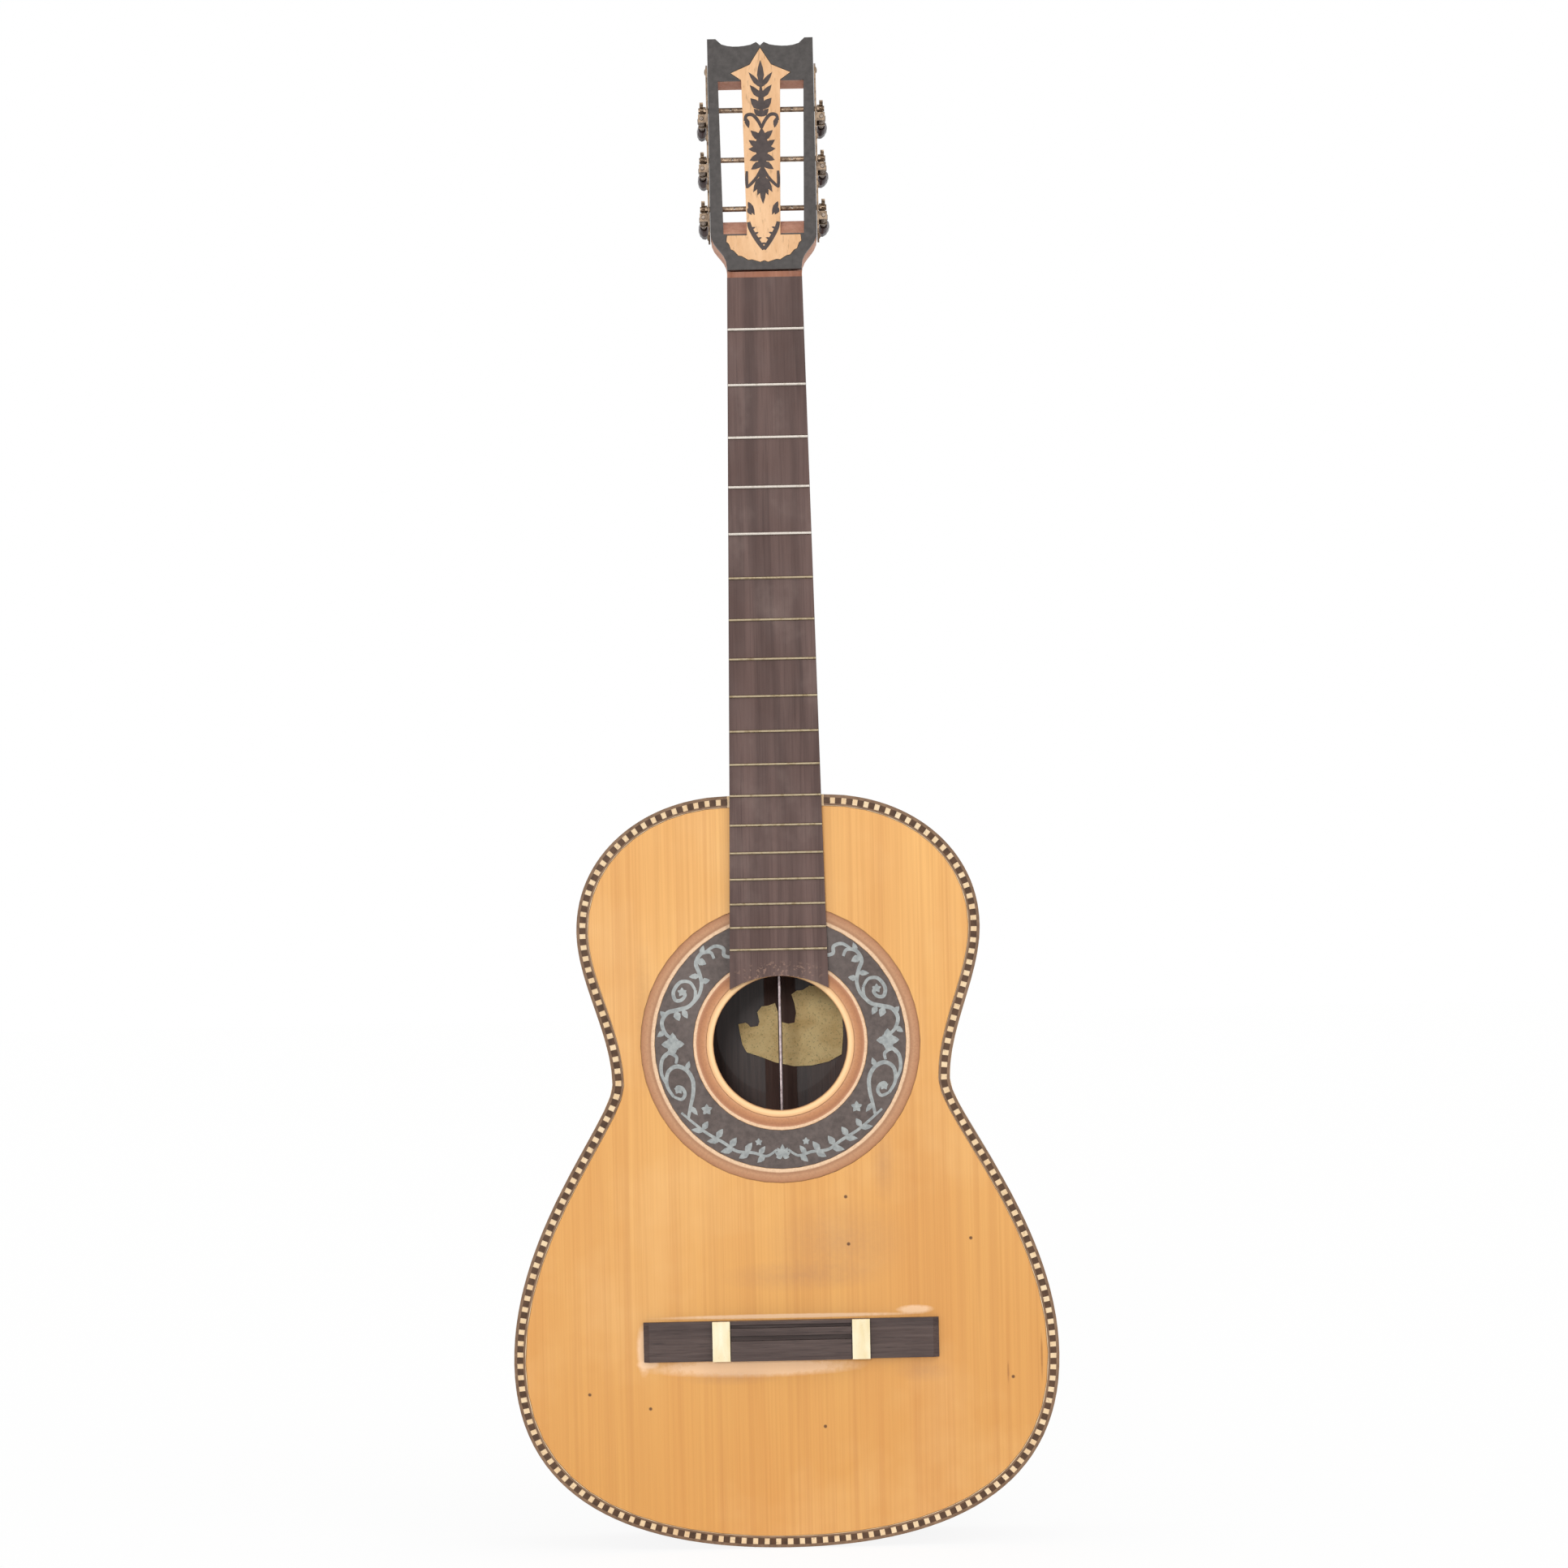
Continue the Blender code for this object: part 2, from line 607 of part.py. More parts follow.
def rod_socket(name, low, high):
    return group(name, [rod_rings(ROD_RADIUS + GAP, low, high, 12)])


def tension_rod():
    """The steel rod between the foot and the tail block, seen through the sound hole."""
    low = TAIL_BLOCK_TOP - ROD_SOCKET + GAP
    high = foot_bottom_z() + ROD_SOCKET - GAP
    return loft("tension_rod", rod_rings(ROD_RADIUS, low, high, 12), "steel", smooth=50)


def label():
    """A paper label glued over the centre strip, square at its top and bowed at its foot."""
    bow = [i / 8 for i in range(9)]
    foot = [
        (
            LABEL_CENTRE_X - LABEL_HALF * math.cos(math.pi * t),
            LABEL_BOTTOM + LABEL_BOW * (1 - math.sin(math.pi * t)),
        )
        for t in bow
    ]
    outline = foot + [(LABEL_CENTRE_X + LABEL_HALF, LABEL_TOP), (LABEL_CENTRE_X - LABEL_HALF, LABEL_TOP)]
    y1 = BACK_INSIDE_Y - BACK_STRIP_THICKNESS - 2 * GAP
    return plate("label", outline, y1 - LABEL_THICKNESS, y1, "paper")


# Neck and fingerboard


def foot_bottom_z():
    return BODY_LENGTH - RIB_THICKNESS - GAP - FOOT_LENGTH


def neck_depth_at(z):
    """Depth of the neck behind the fingerboard: a gentle taper that sweeps down into the heel."""
    share = (NUT_Z - z) / (NUT_Z - BODY_LENGTH)
    depth = NECK_DEPTH_AT_NUT + (NECK_DEPTH_AT_BODY - NECK_DEPTH_AT_NUT) * share
    above_body = (z - BODY_LENGTH) / HEEL_LENGTH
    if above_body < 1:
        depth += (HEEL_SWEEP - depth) * (1 - above_body) ** HEEL_CURVE
    from_nut = (NUT_Z - z) / NECK_END_RUN
    if from_nut < 1:
        head_depth = HEAD_THICKNESS / math.cos(HEAD_LEAN)
        depth = head_depth + (depth - head_depth) * math.sin(from_nut * math.pi / 2)
    return depth


def neck_section(z):
    """The neck's section: flat in front, round behind, narrowing to the cap where it is deep."""
    full = neck_depth_at(z)
    deep = min(full, BODY_DEPTH)
    half = neck_width_at(z) / 2
    flank = []
    squareness = NECK_ROUNDNESS
    from_nut = (NUT_Z - z) / NECK_END_RUN
    if from_nut < 1:
        squareness += (1 - from_nut) * 5
    for i in range(NECK_SIDE_POINTS + 1):
        depth = deep * math.sin(math.pi / 2 * i / NECK_SIDE_POINTS)
        narrowed = half + (HEEL_CAP_HALF - half) * depth / BODY_DEPTH
        flank.append((narrowed * (1 - (depth / full) ** squareness) ** (1 / squareness), FACE_Y + depth))
    right = [(x, y, z) for x, y in flank]
    left = [(-x, y, z) for x, y in reversed(flank)]
    return right + left


def neck():
    """Neck shaft, heel and the foot that locks it into the body, cut from one piece."""
    bottom = BODY_LENGTH + GAP
    heel = [bottom + HEEL_LENGTH * share for share in (0, 0.09, 0.18, 0.28, 0.4, 0.55, 0.75, 1.0)]
    shaft_top = NUT_Z - NECK_END_RUN
    shaft = [heel[-1] + (shaft_top - heel[-1]) * share for share in (0.33, 0.67, 1.0)]
    end = [NUT_Z - NECK_END_RUN * share for share in (0.6, 0.25)] + [NUT_Z - GAP]
    made = loft("neck", [neck_section(z) for z in heel + shaft + end], "cedar", smooth=50)
    join(made, group("foot_core_shape", [foot_core_rings()]))
    join(made, group("foot_shape", [foot_rings()]))
    low = foot_bottom_z()
    cut(made, rod_socket("foot_socket_cutter", low - LAP, low + ROD_SOCKET))
    return made


def foot_core_rings():
    y0, y1 = TOP_INSIDE_Y + GAP, BACK_INSIDE_Y - GAP
    low = BODY_LENGTH - RIB_THICKNESS - GAP - LAP
    return box_rings(-FOOT_CORE_HALF, FOOT_CORE_HALF, y0, y1, low, BODY_LENGTH + GAP + LAP)


def foot_rings():
    """The block inside the body, with a toe that runs down the back."""
    y0, y1 = TOP_INSIDE_Y + GAP, BACK_INSIDE_Y - GAP
    top, low = BODY_LENGTH - RIB_THICKNESS - GAP, foot_bottom_z()
    toe = low - FOOT_TOE_LENGTH
    front_edge = [(y0, top), (y0, low)]
    toe_edge = [(y1 - FOOT_TOE_HEIGHT, low), (y1 - FOOT_TOE_TIP, toe), (y1, toe), (y1, top)]
    shape = front_edge + toe_edge
    return [side_ring(shape, -FOOT_HALF), side_ring(shape, FOOT_HALF)]


def fingerboard_outline():
    """Tapered board whose lower end is hollowed to the curve of the sound hole."""
    top_z = NUT_Z - NUT_SEAT
    half = FINGERBOARD_END_WIDTH / 2
    radius = HOLE_RADIUS + GAP
    corner_z = HOLE_Z + math.sqrt((radius * 1.09) ** 2 - half**2)
    outline = [(neck_width_at(top_z) / 2, top_z), (-neck_width_at(top_z) / 2, top_z)]
    outline += [(-neck_width_at(BODY_LENGTH) / 2, BODY_LENGTH), (-half, corner_z)]
    for i in range(1, FINGERBOARD_END_STEPS):
        x = -half + 2 * half * i / FINGERBOARD_END_STEPS
        share = 1.09 - 0.09 * (1 - (x / half) ** 2)
        outline.append((x, HOLE_Z + math.sqrt((radius * share) ** 2 - x * x)))
    return outline + [(half, corner_z), (neck_width_at(BODY_LENGTH) / 2, BODY_LENGTH)]


def fingerboard():
    y1 = FACE_Y - GAP
    front = y1 - FINGERBOARD_THICKNESS
    made = plate("fingerboard", fingerboard_outline(), front, y1, "ebony")
    slots = []
    reach = FINGERBOARD_END_WIDTH
    half = FRET_TANG / 2 + GAP
    for number in range(1, FRET_COUNT + 1):
        z = fret_z(number)
        slots.append(box_rings(-reach, reach, front - LAP, front + FRET_SLOT_DEPTH, z - half, z + half))
    cut(made, group("fret_slot_cutter", slots))
    return made


def board_width_at(z):
    """Width of the fingerboard at a height, which widens faster over the body."""
    if z >= BODY_LENGTH:
        return neck_width_at(z)
    run = BODY_LENGTH - HOLE_Z - HOLE_RADIUS
    widening = FINGERBOARD_END_WIDTH - NECK_WIDTH_AT_BODY
    return NECK_WIDTH_AT_BODY + widening * min(1.0, (BODY_LENGTH - z) / run)


def fret(number):
    """A fret wire: a rounded crown over a tang that sits in its slot."""
    width = LOW_FRET_WIDTH if number <= LOW_FRETS else FRET_WIDTH
    kind = "nickel" if number <= LOW_FRETS else "brass"
    z = fret_z(number)
    base = FACE_Y - GAP - FINGERBOARD_THICKNESS - GAP
    tang_y = base + FRET_SLOT_DEPTH
    tang, half = FRET_TANG / 2, width / 2
    shape = [(-tang, tang_y), (-tang, base), (-half, base), (-half * 0.62, base - FRET_HEIGHT * 0.8)]
    shape += [(0, base - FRET_HEIGHT), (half * 0.62, base - FRET_HEIGHT * 0.8), (half, base), (tang, base)]
    shape.append((tang, tang_y))
    reach = min(board_width_at(z - half), board_width_at(z + half)) / 2 - FRET_END_INSET
    rings = [[(x, y, z + along) for along, y in shape] for x in (-reach, reach)]
    return loft(f"fret_{number:02d}", rings, kind)


# Bridge


def bridge_section(x, heights):
    """A section of the bridge across the strings, from its tail edge to its saddle edge."""
    tie, channel, shelf, slot = heights
    z0, z1 = BRIDGE_BOTTOM_Z, BRIDGE_TOP_Z
    tie_z = z0 + TIE_BLOCK_WIDTH
    shelf_z = z1 - SADDLE_SHELF_WIDTH
    slot_z = SADDLE_Z - SADDLE_SLOT_WIDTH / 2, SADDLE_Z + SADDLE_SLOT_WIDTH / 2
    shape = [(z0, 0), (z0, tie), (tie_z, tie), (tie_z, channel), (shelf_z, channel), (shelf_z, shelf)]
    shape += [(slot_z[0], shelf), (slot_z[0], slot), (slot_z[1], slot), (slot_z[1], shelf)]
    shape += [(z1, shelf), (z1, 0)]
    return [(BRIDGE_OFFSET + x, FACE_Y - GAP - height, z) for z, height in shape]


def bone_seat_height():
    return TIE_BLOCK_HEIGHT - BONE_THICKNESS - GAP


def bridge():
    """Thin wings, a seat for a bone plate at each end of the tie block, and the saddle's shelf."""
    wing = [WING_HEIGHT] * 4
    wing_end = [WING_END_HEIGHT] * 4
    seat = [bone_seat_height()] * 4
    slot_floor = SADDLE_SHELF_HEIGHT - SADDLE_SLOT_DEPTH
    middle = [TIE_BLOCK_HEIGHT, TIE_CHANNEL_HEIGHT, SADDLE_SHELF_HEIGHT, slot_floor]
    seat_end = TIE_BLOCK_HALF + BONE_WIDTH + GAP
    half = BRIDGE_LENGTH / 2
    stations = [(half, wing_end), (half - WING_BEVEL, wing)]
    stations += [(seat_end + BRIDGE_DRAFT, wing), (seat_end, seat)]
    stations += [(TIE_BLOCK_HALF, seat), (TIE_BLOCK_HALF - BRIDGE_DRAFT, middle)]
    mirrored = [(-x, heights) for x, heights in stations]
    rings = [bridge_section(x, heights) for x, heights in mirrored + stations[::-1]]
    made = loft("bridge", rings, "ebony")
    ways = []
    for number in range(STRING_COUNT):
        x = BRIDGE_OFFSET + STRINGS_WIDTH_AT_BRIDGE * (number / (STRING_COUNT - 1) - 0.5)
        y = FACE_Y - GAP - (TIE_CHANNEL_HEIGHT + TIE_BLOCK_HEIGHT) / 2
        ring = [math.tau * i / 8 for i in range(8)]
        way = [
            [(x + STRING_HOLE_RADIUS * math.cos(a), y + STRING_HOLE_RADIUS * math.sin(a), z) for a in ring]
            for z in (BRIDGE_BOTTOM_Z - LAP, BRIDGE_BOTTOM_Z + TIE_BLOCK_WIDTH + LAP)
        ]
        ways.append(way)
    cut(made, group("string_hole_cutter", ways))
    return made


def bridge_bone(name, side):
    """A bone plate let in flush beside the tie block."""
    near = TIE_BLOCK_HALF + GAP
    x0, x1 = sorted(BRIDGE_OFFSET + side * x for x in (near, near + BONE_WIDTH - GAP))
    y1 = FACE_Y - GAP - bone_seat_height() - GAP
    rings = box_rings(x0, x1, y1 - BONE_THICKNESS, y1, BRIDGE_BOTTOM_Z, BRIDGE_TOP_Z)
    return loft(name, rings, "bone")


# Head


def head_side():
    """The treble edge of the head from the nut to its ear, in the head's frame."""
    neck_half = NECK_WIDTH_AT_NUT / 2
    low = [(neck_half, 0.0)]
    reach = HEAD_SHOULDER_Z * 0.55
    curve_start = (neck_half, HEAD_SHOULDER_Z * 0.1)
    curve_end = (HEAD_HALF, HEAD_SHOULDER_Z * 1.25)
    curve = bezier(curve_start, (0, reach), (0, -reach), curve_end, 7)
    return low + curve + [(HEAD_HALF, HEAD_SHOULDER_Z * 1.25), (HEAD_HALF, HEAD_LENGTH)]


def head_crest():
    """The scooped top edge on the treble side, from the ear to the notch in the middle."""
    ear = HEAD_HALF - HEAD_EAR_WIDTH
    peak = (HEAD_PEAK_HALF, HEAD_LENGTH - HEAD_PEAK_DROP)
    points = [(ear, HEAD_LENGTH)]
    steps = 7
    for i in range(1, steps):
        share = i / steps
        x = ear + (peak[0] - ear) * share
        rim = HEAD_LENGTH - HEAD_PEAK_DROP * share
        scoop = HEAD_SCOOP_DEPTH - HEAD_PEAK_DROP * share
        points.append((x, rim - scoop * math.sin(math.pi * share) ** 0.5))
    return points + [peak, (0.0, HEAD_LENGTH - HEAD_NOTCH_DROP)]


def head_outline(bottom):
    """The head's outline, anticlockwise from the nut line, which lies at the given height."""
    treble = head_side() + head_crest()
    treble[0] = (treble[0][0], bottom)
    bass = [(-x, z) for x, z in reversed(treble[:-1])]
    return treble + bass


def slot_inner_x(z):
    share = (z - SLOT_BOTTOM_Z) / (SLOT_TOP_Z - SLOT_BOTTOM_Z)
    return SLOT_INNER_BOTTOM + (SLOT_INNER_TOP - SLOT_INNER_BOTTOM) * share


def head_slot_rings(side):
    """A string slot: straight walls, and a lower end that slopes in from the front."""
    front, back_end = VENEER_FRONT - LAP, HEAD_THICKNESS + LAP
    slope = SLOT_RAMP / (HEAD_THICKNESS - VENEER_FRONT)
    rings = []
    for y in (front, back_end):
        low = SLOT_BOTTOM_Z + slope * (y - VENEER_FRONT)
        corners = [(slot_inner_x(low), low), (slot_inner_x(low) + SLOT_WIDTH, low)]
        corners += [(SLOT_INNER_TOP + SLOT_WIDTH, SLOT_TOP_Z), (SLOT_INNER_TOP, SLOT_TOP_Z)]
        rings.append([(side * x, y, z) for x, z in corners])
    return rings


def head_slot_cutter(name):
    return group(name, [head_slot_rings(-1), head_slot_rings(1)])


def headstock():
    """The head's wood, with its two slots and the bores for the rollers."""
    lean = math.tan(HEAD_LEAN)
    rings = [
        front_ring(head_outline(GAP), 0.0),
        front_ring(head_outline(GAP + HEAD_THICKNESS * lean), HEAD_THICKNESS),
    ]
    made = loft("headstock", rings, "cedar", smooth=30)
    slots = head_slot_cutter("head_slot_cutter")
    bores = []
    for z in ROLLER_HEIGHTS:
        for side in (-1, 1):
            inner = slot_inner_x(z) - ROLLER_SEAT
            profile = [(side * inner, ROLLER_RADIUS + GAP), (side * (HEAD_HALF + LAP), ROLLER_RADIUS + GAP)]
            bores.append(lathe_rings(profile, 12, "X", (0, ROLLER_DEPTH, z)))
    bore_tool = group("roller_bore_cutter", bores)
    cut(made, slots)
    cut(made, bore_tool)
    return [made, slots, bore_tool]


def inlay_outline():
    """The pale inlay: a spear over the island between the slots, and a fan with a toothed edge."""
    treble = [(0.0, INLAY_FAN_BOTTOM_Z)]
    fan_top = SLOT_BOTTOM_Z
    for tooth in range(INLAY_FAN_TEETH):
        for share, out in ((0.25, 1.0), (0.95, 0.0)):
            along = (tooth + share) / INLAY_FAN_TEETH
            x = INLAY_FAN_HALF * math.sin(along * math.pi / 2) ** 0.9
            z = fan_top - (fan_top - INLAY_FAN_BOTTOM_Z) * math.cos(along * math.pi / 2)
            treble.append((x + out * INLAY_TOOTH * along, z - out * INLAY_TOOTH * (1 - along)))
    treble += [(INLAY_FAN_HALF, fan_top), (slot_inner_x(fan_top), fan_top)]
    treble += [(SLOT_INNER_TOP, SLOT_TOP_Z), (INLAY_WING_HALF, INLAY_WING_Z)]
    treble += [(INLAY_NECK_HALF, INLAY_NECK_Z), (0.0, INLAY_TIP_Z)]
    bass = [(-x, z) for x, z in reversed(treble[1:-1])]
    return treble + bass


def head_veneer():
    """The dark facing of the head, open for the slots and for the inlay."""
    made = plate("head_veneer", head_outline(GAP), VENEER_FRONT, -GAP, "ebony")
    slots = head_slot_cutter("veneer_slot_cutter")
    opening = inset(inlay_outline(), -GAP)
    seat = plate("inlay_cutter", opening, VENEER_FRONT - LAP, -GAP + LAP, None)
    cut(made, slots)
    cut(made, seat)
    return [made, slots, seat]


def head_inlay():
    made = plate("head_inlay", inlay_outline(), VENEER_FRONT, -GAP, "pale_wood")
    return [made]


# Tuners


def plate_outline():
    """A tuner plate's outline in (y, z), with pointed ends."""
    middle = ROLLER_DEPTH
    half = PLATE_WIDTH / 2
    low, high = PLATE_BOTTOM_Z, PLATE_TOP_Z
    shape = [(middle - half, low + PLATE_POINT), (middle, low), (middle + half, low + PLATE_POINT)]
    shape += [(middle + half, high - PLATE_POINT), (middle, high), (middle - half, high - PLATE_POINT)]
    return shape


def tuner_plate(name, side):
    """A plate that carries three tuners: roller holes, and two lugs for each worm shaft."""
    rings = [side_ring(plate_outline(), side * x) for x in (PLATE_INNER_X, PLATE_OUTER_X)]
    made = loft(name, rings, "brass")
    lugs, ways = [], []
    lug_x = sorted((side * (PLATE_OUTER_X - PLATE_THICKNESS / 2), side * (GEAR_X + LUG_REACH)))
    for z in ROLLER_HEIGHTS:
        worm_z = z - WORM_DROP
        for end in (-1, 1):
            lug_y = sorted(ROLLER_DEPTH + end * y for y in (LUG_INNER, LUG_INNER + LUG_THICKNESS))
            lugs.append(box_rings(*lug_x, *lug_y, worm_z - LUG_HALF, worm_z + LUG_HALF))
        bore_ends = (PLATE_INNER_X - LAP, PLATE_OUTER_X + LAP)
        bore = [(side * end, ROLLER_RADIUS + GAP) for end in bore_ends]
        ways.append(lathe_rings(bore, 12, "X", (0, ROLLER_DEPTH, z)))
        reach = LUG_INNER + LUG_THICKNESS + LAP
        shaft = [(ROLLER_DEPTH - reach, JOURNAL_RADIUS + GAP), (ROLLER_DEPTH + reach, JOURNAL_RADIUS + GAP)]
        ways.append(lathe_rings(shaft, 10, "Y", (side * GEAR_X, 0, worm_z)))
    lug_tool = group(name + "_lug_shapes", lugs)
    way_tool = group(name + "_way_cutter", ways)
    join(made, lug_tool)
    cut(made, way_tool)
    return [made, lug_tool, way_tool]


def gear_rings(side):
    """A gear wheel's two faces: straight-flanked teeth, slanted to follow the worm's lead."""
    half_tooth = (PITCH - GEAR_BACKLASH) / 4
    tip_radius = GEAR_RADIUS + GEAR_MODULE
    root_radius = GEAR_RADIUS - 1.25 * GEAR_MODULE
    tip = half_tooth - GEAR_MODULE * math.tan(FLANK_ANGLE)
    root = half_tooth + 1.25 * GEAR_MODULE * math.tan(FLANK_ANGLE)
    slant = PITCH / (math.tau * WORM_PITCH_RADIUS) / GEAR_RADIUS
    rings = []
    for offset in (-GEAR_THICKNESS / 2, GEAR_THICKNESS / 2):
        ring = []
        for tooth in range(GEAR_TEETH):
            middle = math.pi + math.tau * tooth / GEAR_TEETH - slant * offset
            corners = [(-root, root_radius), (-tip, tip_radius), (tip, tip_radius), (root, root_radius)]
            for reach, radius in corners:
                turn = middle + reach / radius
                ring.append((side * GEAR_X + offset, radius * math.sin(turn), radius * math.cos(turn)))
        rings.append(ring)
    return rings


def roller(name, side, z):
    """A string roller with its gear and screw, turning in the island, the rail and the plate."""
    inner = slot_inner_x(z) - ROLLER_SEAT + GAP
    collar = PLATE_OUTER_X + GAP
    gear_face = GEAR_X - GEAR_THICKNESS / 2
    outer_face = GEAR_X + GEAR_THICKNESS / 2
    profile = [(inner, ROLLER_RADIUS), (collar, ROLLER_RADIUS), (collar, COLLAR_RADIUS)]
    profile += [(gear_face + LAP, COLLAR_RADIUS), (gear_face + LAP, GEAR_SCREW_RADIUS)]
    profile += [(outer_face + GEAR_SCREW_HEIGHT, GEAR_SCREW_RADIUS)]
    rings = lathe_rings([(side * along, radius) for along, radius in profile], 12, "X")
    made = loft(name, rings, "brass", smooth=40)
    wheel = group(name + "_gear_shape", [gear_rings(side)])
    way_x = slot_inner_x(z) + SLOT_WIDTH / 2
    way = [(-COLLAR_RADIUS, STRING_WAY_RADIUS), (COLLAR_RADIUS, STRING_WAY_RADIUS)]
    string_way = group(name + "_way_cutter", [lathe_rings(way, 8, "Y", (side * way_x, 0, 0))])
    join(made, wheel)
    cut(made, string_way)
    return [made, wheel, string_way]


def thread_rings():
    """A right-hand thread round the Y axis, with a groove facing the middle of the gear."""
    half_tooth = (PITCH - GEAR_BACKLASH) / 4
    sunk = JOURNAL_RADIUS * 0.7
    crest = half_tooth - GEAR_MODULE * math.tan(FLANK_ANGLE)
    root = half_tooth + (WORM_PITCH_RADIUS - sunk) * math.tan(FLANK_ANGLE)
    section = [(-root, sunk), (-crest, WORM_RADIUS), (crest, WORM_RADIUS), (root, sunk)]
    steps = round(WORM_TURNS * WORM_STEPS)
    rings = []
    for i in range(steps + 1):
        turns = (i - steps / 2) / WORM_STEPS - 0.5
        angle = math.tau * turns
        along = PITCH * (turns + 0.5)
        ring = [
            (radius * math.sin(angle), along + offset, radius * math.cos(angle))
            for offset, radius in section
        ]
        rings.append(ring)
    return rings


def worm(name):
    """A worm and its shaft, which runs back through both lugs into the button."""
    front = LUG_INNER + LUG_THICKNESS + GAP
    end = BUTTON_FRONT + BUTTON_SOCKET - GAP
    profile = [(-front, JOURNAL_RADIUS), (front, JOURNAL_RADIUS), (front, SHAFT_RADIUS), (end, SHAFT_RADIUS)]
    made = loft(name, lathe_rings(profile, 10, "Y"), "steel", smooth=40)
    thread = group(name + "_thread_shape", [thread_rings()])
    join(made, thread)
    return [made, thread]


def button(name):
    """A flattened oval button with a socket for its shaft."""
    sides = 12
    stations = [
        (BUTTON_SOCKET, SHAFT_RADIUS + GAP, SHAFT_RADIUS + GAP),
        (0.0, SHAFT_RADIUS + GAP, SHAFT_RADIUS + GAP),
        (0.0, BUTTON_HALF_THICKNESS * 0.75, BUTTON_HALF_THICKNESS * 0.7),
        (BUTTON_LENGTH * 0.30, BUTTON_HALF_WIDTH * 0.90, BUTTON_HALF_THICKNESS * 0.95),
        (BUTTON_LENGTH * 0.65, BUTTON_HALF_WIDTH, BUTTON_HALF_THICKNESS),
        (BUTTON_LENGTH * 0.92, BUTTON_HALF_WIDTH * 0.72, BUTTON_HALF_THICKNESS * 0.66),
        (BUTTON_LENGTH, BUTTON_HALF_WIDTH * 0.36, BUTTON_HALF_THICKNESS * 0.25),
    ]
    rings = []
    for along, wide, thick in stations:
        turns = [math.tau * i / sides for i in range(sides)]
        rings.append([(thick * math.sin(a), BUTTON_FRONT + along, wide * math.cos(a)) for a in turns])
    return [loft(name, rings, "horn", smooth=60)]


def tuners(head_frame):
    """Six tuners, numbered by string: 1 to 3 on the treble side and 4 to 6 on the bass side."""
    for side, numbers in ((1, (1, 2, 3)), (-1, (6, 5, 4))):
        for number, z in zip(numbers, ROLLER_HEIGHTS):
            for piece in roller(f"roller_{number}", side, z):
                place(piece, head_frame, (0, ROLLER_DEPTH, z))
            shaft_place = (side * GEAR_X, ROLLER_DEPTH, z - WORM_DROP)
            for piece in worm(f"worm_{number}"):
                place(piece, head_frame, shaft_place)
            for piece in button(f"button_{number}"):
                place(piece, head_frame, shaft_place, math.radians(side * BUTTON_TURNS[number]))


def head_frame_empty():
    """The head's frame: its origin on the nut line, leaning back by the head's angle."""
    frame = bpy.data.objects.new("head_frame", None)
    frame.matrix_world = Matrix.Translation((0, FACE_Y, NUT_Z)) @ Matrix.Rotation(-HEAD_LEAN, 4, "X")
    bpy.context.scene.collection.objects.link(frame)
    return frame


def build_body():
    soundboard()
    purfling()
    rosette()
    back()
    back_strip()
    rib("rib_bass", -1)
    rib("rib_treble", 1)
    bar_from_centre = HOLE_RADIUS + HARMONIC_BAR_FROM_HOLE
    harmonic_bar("harmonic_bar_lower", HOLE_Z - bar_from_centre)
    harmonic_bar("harmonic_bar_upper", HOLE_Z + bar_from_centre)
    tail_block()
    tension_rod()
    label()
    bridge()
    bridge_bone("bridge_bone_bass", -1)
    bridge_bone("bridge_bone_treble", 1)


def build_neck():
    neck()
    fingerboard()
    for number in range(1, FRET_COUNT + 1):
        fret(number)


def build_head():
    head_frame = head_frame_empty()
    pieces = headstock() + head_veneer() + head_inlay()
    pieces += tuner_plate("tuner_plate_bass", -1) + tuner_plate("tuner_plate_treble", 1)
    for piece in pieces:
        place(piece, head_frame)
    tuners(head_frame)


def main():
    clear_scene()
    build_body()
    build_neck()
    build_head()


main()
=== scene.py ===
import math

import bmesh
import bpy
from mathutils import Matrix, Vector


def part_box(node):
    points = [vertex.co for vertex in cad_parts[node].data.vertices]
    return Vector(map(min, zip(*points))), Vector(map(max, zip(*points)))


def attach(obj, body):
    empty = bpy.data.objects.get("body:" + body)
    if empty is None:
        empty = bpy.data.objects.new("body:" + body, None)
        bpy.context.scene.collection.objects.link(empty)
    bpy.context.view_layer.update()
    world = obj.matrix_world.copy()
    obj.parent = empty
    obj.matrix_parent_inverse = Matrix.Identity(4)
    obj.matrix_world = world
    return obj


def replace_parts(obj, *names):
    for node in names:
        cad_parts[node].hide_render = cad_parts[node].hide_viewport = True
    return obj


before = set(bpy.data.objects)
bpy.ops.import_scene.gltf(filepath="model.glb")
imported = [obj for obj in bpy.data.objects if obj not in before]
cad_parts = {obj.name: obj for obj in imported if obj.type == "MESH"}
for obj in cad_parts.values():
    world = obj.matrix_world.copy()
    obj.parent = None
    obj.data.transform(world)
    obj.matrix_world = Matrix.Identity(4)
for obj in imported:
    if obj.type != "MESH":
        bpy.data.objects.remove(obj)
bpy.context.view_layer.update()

GUITAR = "guitar"
MM = 0.001

# Sizes in metres, and an angle, that the part has too
GAP = 0.0003
HOLE_RADIUS, ROSETTE_RIM = 0.0416, 0.0045
LOWER_BOUT, WAIST, UPPER_BOUT = (0.16895, 0.117), (0.1046, 0.2887), (0.1250, 0.3836)
SHOULDER_HALF = 0.030
LEAN = math.radians(12)
HEAD_HALF = 0.0330
VENEER_THICKNESS = 0.0020
PLATE_THICKNESS = 0.0011
PLATE_MIDDLE_Y = 0.0075

